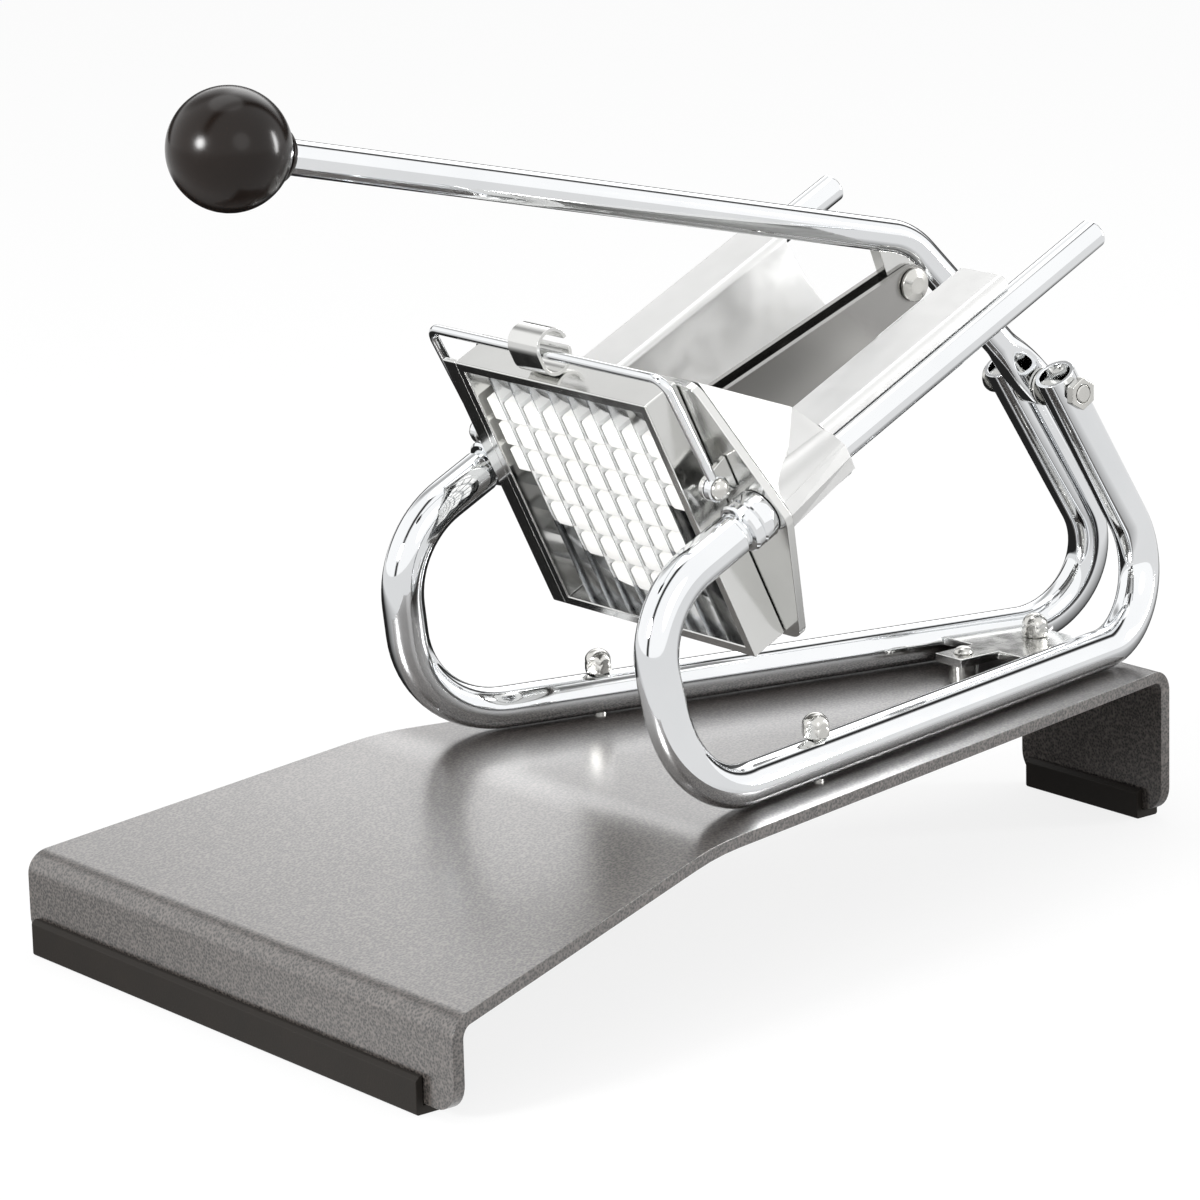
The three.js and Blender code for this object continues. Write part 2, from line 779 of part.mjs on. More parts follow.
// Yoke: a plate on the pusher's back with two cheeks that hold the pusher pin
function pusherYoke() {
  const back = pusherBack + seatGap;
  const reach = pusherPinAlong + yokeReach;
  const plate = box(yokeSheet, 2 * yokeHalfWidth, 2 * yokeHalfHeight, back + yokeSheet / 2, 0, 0);
  const cheekShape = new THREE.Shape();
  cheekShape.moveTo(back, -yokeHalfHeight);
  cheekShape.lineTo(pusherPinAlong, -yokeReach);
  cheekShape.absarc(pusherPinAlong, 0, yokeReach, -Math.PI / 2, Math.PI / 2, false);
  cheekShape.lineTo(back, yokeHalfHeight);
  const cheeks = [-1, 1].map((side) => {
    const inner = side * yokeCheekGap;
    const outer = side * (yokeCheekGap + yokeCheekSheet);
    return acrossY(cheekShape, Math.min(inner, outer), Math.max(inner, outer));
  });
  const pinHole = pinAlongY(pusherPinRadius + seatGap, -reach, reach, pusherPinAlong, 0);
  const screwHoles = [-1, 1].map((side) => pinAlongX(yokeScrewRadius + seatGap,
    back - cutOverrun, back + yokeSheet + cutOverrun, side * yokeScrewSide, 0, smallSides));
  return cut(join(plate, ...cheeks), pinHole, ...screwHoles);
}

function yokeScrew(side) {
  const face = pusherBack + seatGap + yokeSheet + seatGap;
  const profile = [
    [0, pusherBack - yokeScrewLength + seatGap],
    [yokeScrewRadius, pusherBack - yokeScrewLength + seatGap],
    [yokeScrewRadius, face],
    [yokeScrewHeadRadius, face],
    [yokeScrewHeadRadius, face + yokeScrewHead / 2],
    [yokeScrewRadius, face + yokeScrewHead],
    [0, face + yokeScrewHead],
  ];
  return turned(profile, 'x', smallSides).translate(0, side * yokeScrewSide, 0);
}

function pusherPin() {
  const outside = yokeCheekGap + yokeCheekSheet + seatGap;
  const end = outside + pusherPinHead;
  const profile = [
    [0, -end],
    [pusherPinHeadRadius, -end],
    [pusherPinHeadRadius, -outside],
    [pusherPinRadius, -outside],
    [pusherPinRadius, outside],
    [pusherPinHeadRadius, outside],
    [pusherPinHeadRadius, end],
    [0, end],
  ];
  return turned(profile, 'y', smallSides).translate(pusherPinAlong, 0, 0);
}

// Lever bar: round from the knob to the bend and on to a flat tongue at the pivot
function leverDirections() {
  const knob = new THREE.Vector3(knobX, 0, knobZ);
  const bend = new THREE.Vector3(leverBendX, 0, leverBendZ);
  const pivot = new THREE.Vector3(pivotX, 0, pivotZ);
  const toKnob = knob.clone().sub(bend).normalize();
  const toPivot = pivot.clone().sub(bend).normalize();
  return { knob, bend, pivot, toKnob, toPivot };
}

function leverRoute() {
  const { knob, bend, pivot, toKnob, toPivot } = leverDirections();
  const inKnob = knobFaceFromCentre - knobBoreDepth + seatGap;
  const start = knob.clone().addScaledVector(toKnob, -inKnob);
  const end = pivot.clone().addScaledVector(toPivot, -tongueLength * 2 / 3);
  return [start, bend, end];
}

function leverBar() {
  const { pivot, toPivot } = leverDirections();
  const bar = sweep(leverRoute(), [leverBendRadius], leverRadius, leverSides);
  const tongueShape = new THREE.Shape();
  tongueShape.moveTo(-tongueLength, -leverRadius);
  tongueShape.lineTo(-tongueHalfWidth, -tongueHalfWidth);
  tongueShape.absarc(0, 0, tongueHalfWidth, -Math.PI / 2, Math.PI / 2, false);
  tongueShape.lineTo(-tongueHalfWidth, tongueHalfWidth);
  tongueShape.lineTo(-tongueLength, leverRadius);
  const slope = Math.atan2(-toPivot.z, toPivot.x);
  const tongue = acrossY(tongueShape, -tongueThickness / 2, tongueThickness / 2);
  tongue.rotateY(slope).translate(pivot.x, 0, pivot.z);
  const hole = pinAlongY(pivotBoltRadius + seatGap, -tongueThickness, tongueThickness,
    pivotX, pivotZ);
  return cut(join(bar, tongue), hole);
}

// Lug welded under the lever's bend
function leverLug() {
  const shape = new THREE.Shape();
  const rootHalf = lugRootWidth / 2;
  shape.moveTo(linkPinX - rootHalf, leverBendZ);
  shape.lineTo(linkPinX - lugRadius, linkPinZ);
  shape.absarc(linkPinX, linkPinZ, lugRadius, Math.PI, 2 * Math.PI, false);
  shape.lineTo(linkPinX + rootHalf, leverBendZ - rootHalf / 2);
  const plate = acrossY(shape, -lugThickness / 2, lugThickness / 2);
  const seat = sweep(leverRoute(), [leverBendRadius], leverRadius + seatGap, leverSides);
  const hole = pinAlongY(linkPinRadius + seatGap, -lugThickness, lugThickness,
    linkPinX, linkPinZ);
  return cut(plate, seat, hole);
}

// Knob: a ball with a flat face and a turned ring where the lever enters
function knobBall() {
  const { knob, toKnob } = leverDirections();
  const ball = new THREE.SphereGeometry(knobRadius, 2 * smallSides, smallSides + 2);
  const trim = box(knobRadius, 2 * knobRadius, 2 * knobRadius,
    knobFaceFromCentre + knobRadius / 2, 0, 0);
  const bore = pinAlongX(leverRadius + seatGap, knobFaceFromCentre - knobBoreDepth,
    knobRadius + cutOverrun, 0, 0);
  const slope = Math.atan2(toKnob.z, -toKnob.x);
  return cut(ball, trim, bore).rotateY(slope).translate(knob.x, 0, knob.z);
}

function knobRing() {
  const { knob, toKnob } = leverDirections();
  const from = knobFaceFromCentre + seatGap;
  const bore = leverRadius + seatGap;
  const profile = [
    [bore, from],
    [knobRingRadius, from],
    [knobRingRadius - knobRingLength / 2, from + knobRingLength],
    [bore, from + knobRingLength],
    [bore, from],
  ];
  const slope = Math.atan2(toKnob.z, -toKnob.x);
  return turned(profile, 'x').rotateY(slope).translate(knob.x, 0, knob.z);
}

// Arm plates: broad at the pusher with an upright slot, narrow at the lever's link pin
function armPlate(side) {
  const shape = new THREE.Shape();
  const front = pusherPinAlong - armFrontReach;
  const eye = armEyeRadius;
  shape.moveTo(front, -armBottom + armFrontReach);
  shape.absarc(pusherPinAlong, -armBottom + armFrontReach, armFrontReach,
    Math.PI, 1.5 * Math.PI, false);
  shape.lineTo(linkPin.x - armNeck, linkPin.y - eye);
  shape.lineTo(linkPin.x, linkPin.y - eye);
  shape.absarc(linkPin.x, linkPin.y, eye, -Math.PI / 2, Math.PI / 2, false);
  shape.lineTo(front + armFrontReach / 2, armTop);
  shape.lineTo(front, armTop - armFrontReach / 2);
  const from = side > 0 ? armPlateInner : -armPlateOuter;
  const plate = acrossY(shape, from, from + armSheet);
  const slot = new THREE.Shape();
  const slotHalf = pusherPinRadius + seatGap;
  const slotFront = pusherPinAlong - armSlotForward;
  const slotRear = pusherPinAlong + armSlotBack;
  slot.absarc(slotRear, 0, slotHalf, 0, Math.PI / 2, false);
  slot.absarc(slotFront, 0, slotHalf, Math.PI / 2, Math.PI, false);
  slot.absarc(slotFront, -armSlotDrop, slotHalf, Math.PI, 1.5 * Math.PI, false);
  slot.absarc(slotRear, -armSlotDrop, slotHalf, 1.5 * Math.PI, 2 * Math.PI, false);
  const tools = [
    acrossY(slot, from - cutOverrun, from + armSheet + cutOverrun),
    pinAlongY(linkPinRadius + seatGap, from - cutOverrun, from + armSheet + cutOverrun,
      linkPin.x, linkPin.y, smallSides),
  ];
  return cut(plate, ...tools);
}

function armSpacer() {
  const half = armPlateInner - seatGap;
  return pinAlongY(armSpacerRadius, -half, half, linkPin.x - armSpacerFromPin, linkPin.y,
    smallSides);
}

function linkPinBolt() {
  const outside = armPlateOuter + seatGap;
  const end = outside + linkPinHead;
  const profile = [
    [0, -end],
    [linkPinHeadRadius / 2, -end],
    [linkPinHeadRadius, -outside - linkPinHead / 2],
    [linkPinHeadRadius, -outside],
    [linkPinRadius, -outside],
    [linkPinRadius, end],
    [0, end],
  ];
  return turned(profile, 'y').translate(linkPin.x, 0, linkPin.y);
}

function linkPinNut() {
  const from = armPlateOuter + seatGap;
  const nut = pinAlongY(linkPinHeadRadius, from, from + linkPinHead, linkPin.x, linkPin.y, 6);
  const bore = pinAlongY(linkPinRadius + seatGap, from - cutOverrun,
    from + linkPinHead + cutOverrun, linkPin.x, linkPin.y, smallSides);
  return cut(nut, bore);
}

// Pivot bolt, nut and the washers that fill the gap beside the lever's tongue
const pivotFace = tubeTopY + tubeRadius + seatGap;

function pivotBolt() {
  const end = pivotFace + pivotHeadHeight;
  const profile = [
    [0, -end],
    [pivotBoltRadius, -end],
    [pivotBoltRadius, pivotFace],
    [pivotHeadRadius, pivotFace],
    [pivotHeadRadius, pivotFace + pivotHeadHeight / 2],
    [pivotBoltRadius, end],
    [0, end],
  ];
  return turned(profile, 'y').translate(pivotX, 0, pivotZ);
}

function pivotNut() {
  const nut = pinAlongY(pivotHeadRadius, -pivotFace - pivotHeadHeight + seatGap, -pivotFace,
    pivotX, pivotZ, 6);
  const bore = pinAlongY(pivotBoltRadius + seatGap, -pivotFace - pivotHeadHeight - cutOverrun,
    -pivotFace + cutOverrun, pivotX, pivotZ, smallSides);
  return cut(nut, bore);
}

function pivotWasher(side) {
  const inner = tongueThickness / 2 + seatGap;
  const outer = tubeTopY - tubeRadius - seatGap;
  const middle = side * (inner + outer) / 2;
  const half = (outer - inner) / 2;
  const bore = pivotBoltRadius + seatGap;
  const profile = [
    [bore, -half],
    [washerRadius, -half],
    [washerRadius, half],
    [bore, half],
    [bore, -half],
  ];
  return turned(profile, 'y').translate(pivotX, middle, pivotZ);
}

// Wire bail: a loop over the top of the grid frame with a flat eye at each lower end
function wireBail() {
  const corners = [
    [-bailSide, bailPivotForward, bailPivotHeight + bailEyeRadius - bailWire],
    [-bailSide, bailPlane, bailTop],
    [bailSide, bailPlane, bailTop],
    [bailSide, bailPivotForward, bailPivotHeight + bailEyeRadius - bailWire],
  ].map(([y, x, z]) => new THREE.Vector3(x, y, z));
  const wire = sweep(corners, [bailCornerRadius, bailCornerRadius], bailWire, bailSides);
  const eyes = [-1, 1].map((side) => pinAlongY(bailEyeRadius, side * bailSide - bailWire,
    side * bailSide + bailWire, bailPivotForward, bailPivotHeight, smallSides));
  const holes = [-1, 1].map((side) => pinAlongY(bailPinRadius + seatGap,
    side * bailSide - bailWire - cutOverrun, side * bailSide + bailWire + cutOverrun,
    bailPivotForward, bailPivotHeight, smallSides));
  return cut(join(wire, ...eyes), ...holes);
}

const bailLugOuter = bailSide - bailWire - seatGap;

function bailLug(side) {
  const shape = new THREE.Shape();
  shape.moveTo(plateFront - seatGap, bailPivotHeight - bailLugHalfHeight);
  shape.lineTo(plateFront - seatGap, bailPivotHeight + bailLugHalfHeight);
  shape.lineTo(bailPivotForward, bailPivotHeight + bailEyeRadius);
  shape.absarc(bailPivotForward, bailPivotHeight, bailEyeRadius, Math.PI / 2, 1.5 * Math.PI,
    false);
  const outer = side * bailLugOuter;
  const inner = side * (bailLugOuter - bailLugSheet);
  const lug = acrossY(shape, Math.min(inner, outer), Math.max(inner, outer));
  const hole = pinAlongY(bailPinRadius + seatGap, Math.min(inner, outer) - cutOverrun,
    Math.max(inner, outer) + cutOverrun, bailPivotForward, bailPivotHeight, smallSides);
  return cut(lug, hole);
}

function bailPin(side) {
  const inner = bailLugOuter - bailLugSheet;
  const face = bailSide + bailWire + seatGap;
  const profile = [
    [0, inner],
    [bailPinRadius, inner],
    [bailPinRadius, face],
    [bailPinHeadRadius, face],
    [bailPinHeadRadius, face + bailPinHead / 2],
    [bailPinRadius, face + bailPinHead],
    [0, face + bailPinHead],
  ];
  const pin = turned(profile, 'y', smallSides);
  if (side < 0) pin.rotateZ(Math.PI);
  return pin.translate(bailPivotForward, 0, bailPivotHeight);
}

// Rolled clip: a strip wrapped round the bail's top bar
function latchClip() {
  const half = clipSheet / 2;
  const front = bailPlane - bailWire - seatGap - half;
  const rear = front + 2 * clipHalfDepth;
  const radius = clipHalfDepth;
  const points = [
    [rear, clipBottom + half + radius],
    [rear, clipBottom + half],
    [front, clipBottom + half],
    [front, clipTop - half],
    [rear, clipTop - half],
    [rear, clipTop - half - radius],
  ];
  const nearRadius = radius - seatGap / 2;
  const outline = sheetOutline(points, [nearRadius, nearRadius, nearRadius, nearRadius],
    clipSheet);
  return acrossY(outline, clipShift - clipWidth / 2, clipShift + clipWidth / 2);
}

// Dome nut standing on a face at height z
function domeNut(x, y, z) {
  const steps = 5;
  const profile = [[0, z], [domeRadius, z], [domeRadius, z + domeCollar]];
  for (let i = 1; i <= steps; i += 1) {
    const angle = Math.PI / 2 * i / steps;
    profile.push([domeRadius * Math.cos(angle), z + domeCollar + domeRadius * Math.sin(angle)]);
  }
  profile[profile.length - 1][0] = 0;
  const bore = pinAlongZ(boltRadius + seatGap, z - cutOverrun, z + domeCollar, 0, 0, smallSides);
  return cut(turned(profile, 'z', roundSides), bore).translate(x, y, 0);
}

// Bolt with its head under the base and its end inside a dome nut at height top
function baseBolt(x, y, top) {
  const under = rearTopHeight - baseSheet - seatGap;
  const profile = [
    [0, under - boltHeadHeight],
    [boltHeadRadius, under - boltHeadHeight],
    [boltHeadRadius, under],
    [boltRadius, under],
    [boltRadius, top],
    [0, top],
  ];
  return turned(profile, 'z', smallSides).translate(x, y, 0);
}

const tubeTopHeight = tubeAxisHeight + tubeRadius + seatGap;

// Strap between the side tubes, on spacers above the base
const strapTop = tubeAxisHeight + strapSheet;

function rearCrossStrap() {
  const slant = Math.hypot(tubeRearX - tubeLowerX, tubeRearY - tubeLowerY);
  const reach = (tubeRadius + seatGap) * slant / (tubeRearX - tubeLowerX);
  const outline = polygon([
    [strapFrontX, -strapTongueHalfWidth],
    [strapShoulderX, -strapTongueHalfWidth],
    [strapShoulderX, -tubeSideAt(strapShoulderX) + reach],
    [strapRearX, -tubeSideAt(strapRearX) + reach],
    [strapRearX, tubeSideAt(strapRearX) - reach],
    [strapShoulderX, tubeSideAt(strapShoulderX) - reach],
    [strapShoulderX, strapTongueHalfWidth],
    [strapFrontX, strapTongueHalfWidth],
  ]);
  const strap = alongZ(outline, tubeAxisHeight, strapTop);
  const holes = [strapBoltX, strapScrewX].map((x) => pinAlongZ(boltRadius + seatGap,
    tubeAxisHeight - cutOverrun, strapTop + cutOverrun, x, 0, smallSides));
  return cut(strap, ...holes);
}

function strapSpacer(x) {
  const from = rearTopHeight + seatGap;
  const to = tubeAxisHeight - seatGap;
  const bore = boltRadius + seatGap;
  const profile = [
    [bore, from],
    [strapSpacerRadius, from],
    [strapSpacerRadius, to],
    [bore, to],
    [bore, from],
  ];
  return turned(profile, 'z', smallSides).translate(x, 0, 0);
}

function strapScrew() {
  const face = strapTop + seatGap;
  const under = rearTopHeight - baseSheet;
  const profile = [
    [0, under],
    [boltRadius, under],
    [boltRadius, face],
    [strapScrewHeadRadius, face],
    [strapScrewHeadRadius, face + strapScrewHead / 2],
    [boltRadius, face + strapScrewHead],
    [0, face + strapScrewHead],
  ];
  return turned(profile, 'z', smallSides).translate(strapScrewX, 0, 0);
}

// Materials
const finish = (color, roughness, metalness) => () => new THREE.MeshStandardMaterial({
  color,
  roughness,
  metalness,
});
const hammeredPaint = finish(0x55565a, 0.55, 0.3);
const blackRubber = finish(0x161616, 0.85, 0);
const chrome = finish(0xdfe2e6, 0.12, 1);
const polishedSteel = finish(0xc9ccd1, 0.22, 1);
const bladeSteel = finish(0xb9bdc2, 0.3, 1);
const whitePlastic = finish(0xf1f1ee, 0.45, 0);
const blackPhenolic = finish(0x0d0d0e, 0.12, 0);

// Assembly: pieces in the machine's frame, and pieces in the inclined head's frame
const cutter = new THREE.Group();
const head = new THREE.Group();
head.position.set(headX, 0, headZ);
head.rotation.y = -headTilt;
cutter.add(head);

function place(group, name, geometry, material) {
  const mesh = new THREE.Mesh(geometry, material());
  mesh.name = name;
  group.add(mesh);
}

const sides = [['near', -1], ['far', 1]];

place(cutter, 'base_plate', basePlate(), hammeredPaint);
place(cutter, 'front_rubber_strip',
  rubberStrip(0, frontRubberHeight, frontRubberLength, frontRubberShift), blackRubber);
place(cutter, 'rear_rubber_strip', rubberStrip(baseLength - baseSheet, rearRubberHeight,
  rearRubberLength, rearRubberShift), blackRubber);

sides.forEach(([label, side]) => {
  const boltY = side * tubeSideAt(frontBoltX);
  place(cutter, `${label}_frame_tube`, sideTube(side), chrome);
  place(cutter, `${label}_front_bolt`,
    baseBolt(frontBoltX, boltY, tubeTopHeight + domeCollar - seatGap), polishedSteel);
  place(cutter, `${label}_front_dome_nut`, domeNut(frontBoltX, boltY, tubeTopHeight),
    polishedSteel);
  place(head, `${label}_collar`, collar(side), chrome);
  place(head, `${label}_guide_rod`, guideRod(side), chrome);
  place(cutter, `${label}_pivot_washer`, pivotWasher(side), polishedSteel);
  place(head, `${label}_bail_lug`, bailLug(side), polishedSteel);
  place(head, `${label}_bail_pin`, bailPin(side), polishedSteel);
  place(head, `${label}_yoke_screw`, yokeScrew(side), polishedSteel);
  place(head, `${label}_arm_plate`, armPlate(side), polishedSteel);
});

place(cutter, 'rear_cross_strap', rearCrossStrap(), polishedSteel);
place(cutter, 'rear_strap_spacer', strapSpacer(strapBoltX), polishedSteel);
place(cutter, 'front_strap_spacer', strapSpacer(strapScrewX), polishedSteel);
place(cutter, 'rear_strap_bolt',
  baseBolt(strapBoltX, 0, strapTop + domeCollar), polishedSteel);
place(cutter, 'rear_strap_dome_nut', domeNut(strapBoltX, 0, strapTop + seatGap), polishedSteel);
place(cutter, 'front_strap_screw', strapScrew(), polishedSteel);

place(head, 'head_plate', headPlate(), polishedSteel);
place(head, 'head_housing', headHousing(), polishedSteel);
place(head, 'potato_trough', potatoTrough(), polishedSteel);
place(head, 'grid_frame', gridFrame(), polishedSteel);
place(head, 'upright_blades', bladeSet(0, true), bladeSteel);
place(head, 'cross_blades', bladeSet(1, false), bladeSteel);

place(head, 'pusher_block', pusherBlock(), whitePlastic);
place(head, 'pusher_yoke', pusherYoke(), polishedSteel);
place(head, 'pusher_pin', pusherPin(), polishedSteel);

place(head, 'arm_spacer', armSpacer(), polishedSteel);
place(head, 'link_pin', linkPinBolt(), polishedSteel);
place(head, 'link_pin_nut', linkPinNut(), polishedSteel);

place(cutter, 'lever_bar', leverBar(), chrome);
place(cutter, 'lever_lug', leverLug(), polishedSteel);
place(cutter, 'lever_knob', knobBall(), blackPhenolic);
place(cutter, 'knob_ring', knobRing(), blackPhenolic);
place(cutter, 'pivot_bolt', pivotBolt(), polishedSteel);
place(cutter, 'pivot_nut', pivotNut(), polishedSteel);

place(head, 'wire_bail', wireBail(), chrome);
place(head, 'latch_clip', latchClip(), polishedSteel);

// The origin lies under the middle of the whole cutter, at the level that it stands on
cutter.updateMatrixWorld(true);
const extent = new THREE.Box3().setFromObject(cutter, true);
const middleX = (extent.min.x + extent.max.x) / 2;
cutter.position.x = -middleX;

export default cutter;
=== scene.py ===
"""French fry cutter on a pale studio floor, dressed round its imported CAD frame."""
import functools
import math

import bmesh
import bpy
import numpy as np
from bpy.props import FloatProperty, FloatVectorProperty, PointerProperty
from mathutils import Matrix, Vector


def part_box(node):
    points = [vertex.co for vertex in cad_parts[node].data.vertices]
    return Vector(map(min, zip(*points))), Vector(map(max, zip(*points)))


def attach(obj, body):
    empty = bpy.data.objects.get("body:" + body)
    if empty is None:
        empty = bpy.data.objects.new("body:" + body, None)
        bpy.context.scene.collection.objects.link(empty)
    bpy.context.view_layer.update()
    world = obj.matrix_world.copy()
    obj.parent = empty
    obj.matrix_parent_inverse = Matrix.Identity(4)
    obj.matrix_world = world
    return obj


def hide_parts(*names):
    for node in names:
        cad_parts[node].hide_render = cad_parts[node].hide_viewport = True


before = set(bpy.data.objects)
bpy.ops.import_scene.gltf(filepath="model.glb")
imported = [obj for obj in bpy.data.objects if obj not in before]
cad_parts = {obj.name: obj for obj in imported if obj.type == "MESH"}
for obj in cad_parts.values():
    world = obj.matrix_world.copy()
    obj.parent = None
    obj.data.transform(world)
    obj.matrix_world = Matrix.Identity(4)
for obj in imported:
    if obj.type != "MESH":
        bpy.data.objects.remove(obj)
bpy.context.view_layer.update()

bl_info = {
    "name": "French Fry Cutter",
    "version": (1, 0, 0),
    "blender": (4, 5, 0),
    "location": "View3D > Sidebar > Cutter",
    "description": "Builds a lever french fry cutter: base, bent tubes, trough, blade grid and pusher",
    "category": "Object",
}

# Metres throughout. Places on the base count back from its front face. Places on the head count from
# the middle of the blade grid's face: along the rods, across them, and up square to both.
BASE_ORIGIN = np.array([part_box("base_plate")[0].x, 0.0, 0.0])
SIDES = (("near", -1.0), ("far", 1.0))
HEAD_ORIGIN = BASE_ORIGIN + [0.1506, 0.0, 0.1405]
HEAD_TILT = math.radians(25.8)
ALONG = np.array([math.cos(HEAD_TILT), 0.0, math.sin(HEAD_TILT)])
ACROSS = np.array([0.0, 1.0, 0.0])
UPRIGHT = np.array([-math.sin(HEAD_TILT), 0.0, math.cos(HEAD_TILT)])
PLUMB = (0.0, 0.0, 1.0)
RUNNING_GAP = 0.0003

BASE_LENGTH = 0.367
BASE_FRONT_HALF = 0.1144
BASE_REAR_HALF = 0.0345
BASE_CORNER = 0.009
FOLD_X = 0.122
FOLD_RADIUS = 0.114
FRONT_TOP = 0.0325
REAR_TOP = 0.0545
SOLE = 0.0032

TUBE_REAR_X = 0.3955
TUBE_BENDS = (0.031, 0.036, 0.027)
PIVOT = BASE_ORIGIN + [0.3386, 0.0, 0.1525]
PIVOT_SIDE = 0.0126
KNOB = BASE_ORIGIN + [0.0134, 0.0, 0.2726]
LEVER_BEND = BASE_ORIGIN + [0.281, 0.0, 0.2105]

ROD_SIDE = 0.064
ROD_HEIGHT = 0.002
GRID_HALF = 0.045
GRID_WALL = 0.0035
GRID_DEPTH = 0.0137
BLADE_END = GRID_HALF + 0.0012
CELL = 0.010
CELLS = 9
TROUGH_HALF = 0.043
TROUGH_RADIUS = 0.042
TROUGH_FLANGE_HALF = 0.065
FLANGE_TOP = 0.012
TROUGH_BOTTOM = -0.035
TROUGH_FRONT = 0.0466
TROUGH_REAR = 0.132
PUSHER_TOP = 0.0345
PUSHER_GAP = 0.0005

# Points nearer than this are one point, in a new piece and in a copy of the CAD's triangles
SAME_POINT = 1e-7
SAME_CAD_POINT = 2e-6
FLAT_ANGLE = math.radians(0.6)

# Camera, fitted to the photograph: its place, its own directions in the row frame, and its lens
CAMERA_PLACE = BASE_ORIGIN + [-0.84735, -1.26920, 0.51733]
CAMERA_RIGHT = np.array([0.78235, -0.62225, -0.02700])
CAMERA_UP = np.array([0.17259, 0.17494, 0.96933])
CAMERA_AHEAD = np.array([0.59845, 0.76302, -0.24427])
CAMERA_LENS = 156.5
CAMERA_SENSOR = 36.0
CAMERA_CLIP = (0.05, 60.0)

# Studio. Each range turns a value into a level of light, where 1 is white, that only gloss sees.
# The floor's reflection is painted: gloss sees it dark round a spot beside the cutter, as painted shade, and
# pale further from it.
FLOOR_HALF = 12.0
FLOOR_SHADE_SPOT = (0.2, 0.42, 0.0)
FLOOR_RANGE = {"From Min": 0.38, "From Max": 0.6, "To Min": 0.02, "To Max": 0.85}
FLOOR_WHITENESS = 0.82
# A dark ring round the camera's way of looking, wider sideways, is a painted reflection that draws the dark
# edge lines on chrome
RING_WIDENING = 0.37
RING_OUTER = {"From Min": 0.82, "From Max": 0.865, "To Min": 1.0, "To Max": 0.04}
RING_INNER = {"From Min": 0.955, "From Max": 0.98, "To Min": 0.04, "To Max": 1.0}
# An upright painted dark stripe in the tent, from its left end over the top to its right end, seen only as a
# painted reflection
PAINTED_STRIPE_NORMAL = (-0.08, 0.9968, 0.0)
PAINTED_STRIPE_RANGE = {"From Min": 0.06, "From Max": 0.15, "To Min": 0.03, "To Max": 1.0}
# A painted bright glow straight behind the cutter, 27 degrees up, seen only by gloss as a painted highlight,
# and a painted grey patch higher on its left that darkens what mirrors it as painted shade
PAINTED_BACK_GLOW = (0.58, 0.68, 0.449)
PAINTED_BACK_GLOW_RANGE = {"From Min": 0.86, "From Max": 0.96, "To Min": 1.15, "To Max": 3.1}
PAINTED_GREY_PATCH = (0.18, 0.763, 0.62)
PAINTED_GREY_PATCH_RANGE = {"From Min": 0.915, "From Max": 0.975, "To Min": 1.0, "To Max": 0.4}
# What matt surfaces get from all round
FILL_LEVEL = 0.85
# Name, place, width, height and watts; all face the middle of the cutter
SOFTBOXES = (
    ("key_softbox", (-1.7, -0.02, 0.73), 0.45, 0.45, 24.0),
    ("strip_softbox", (1.4, -0.9, 0.45), 0.25, 0.9, 14.0),
    ("fill_softbox", (-0.5, -1.9, 1.0), 1.1, 1.1, 3.0),
    ("top_softbox", (0.0, 0.3, 1.9), 1.3, 1.3, 5.0),
)
LAMP_TARGET = np.array([0.0, 0.0, 0.12])


# ---- shapes

def unit(vector):
    """A vector over its own length."""
    vector = np.asarray(vector, float)
    return vector / np.linalg.norm(vector, axis=-1, keepdims=True)


def head(points):
    """Head coordinates turned into the row frame: the head's origin plus each coordinate times its
    own direction."""
    return HEAD_ORIGIN + np.asarray(points, float) @ np.stack([ALONG, ACROSS, UPRIGHT])


def foot_of(node):
    """Foot and height of an upright CAD node: the middle of its box's floor, and how tall the box is."""
    low, high = np.array(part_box(node))
    return np.array([*(low + high)[:2] / 2, low[2]]), high[2] - low[2]


def bent_path(corners, radii, step=math.radians(5)):
    """Straight runs joined by arcs. At each corner the arc's centre lies on the bisector, at the radius
    over the sine of half the angle, and each point is centre + spoke cos(a) + run radius sin(a).
    Returns the points and the direction of travel at each."""
    corners = np.asarray(corners, float)
    points, ways = [corners[:1]], [unit(corners[1] - corners[0])[None]]
    for before, corner, after, radius in zip(corners, corners[1:], corners[2:], radii):
        back, on = unit(before - corner), unit(after - corner)
        half = math.acos(float(np.clip(back @ on, -1, 1))) / 2
        centre = corner + unit(back + on) * radius / math.sin(half)
        spoke = corner + back * radius / math.tan(half) - centre
        turn = math.pi - 2 * half
        angle = np.linspace(0, turn, max(3, int(turn / step) + 2))[:, None]
        points.append(centre + spoke * np.cos(angle) - back * radius * np.sin(angle))
        ways.append(-back * np.cos(angle) - unit(spoke) * np.sin(angle))
    points.append(corners[-1:])
    ways.append(unit(corners[-1] - corners[-2])[None])
    return np.concatenate(points), np.concatenate(ways)


def carry(section, points, ways, across=ACROSS):
    """A section carried along a path: each ring is the path's point plus the section's first coordinate
    along the across direction made square to the path, and its second along the path's other normal.
    section is (ring, 2), or (points, ring, 2) where it changes on the way."""
    side = unit(across - (ways @ across)[:, None] * ways)
    other = np.cross(ways, side)
    section = np.broadcast_to(section, (len(points),) + np.shape(section)[-2:])
    return points[:, None] + section[..., :1] * side[:, None] + section[..., 1:] * other[:, None]


def spread_sheet(line, places, axis):
    """A bent sheet: its line repeated at several places along one axis, as a grid of points."""
    grid = np.repeat(line[:, None], np.shape(places)[-1], 1)
    grid[..., axis] = places
    return grid


def layers(outline, levels, axis=0):
    """An outline as one row for each level: the outline times the level's size, at the level's place
    along the axis."""
    return np.stack([np.insert(outline * size, axis, place, 1) for place, size in levels])


def mirrored(near, signs):
    """A line followed by its mirror image backwards: each of its coordinates times its own sign."""
    near = np.asarray(near, float)
    return np.concatenate([near, near[::-1] * signs])


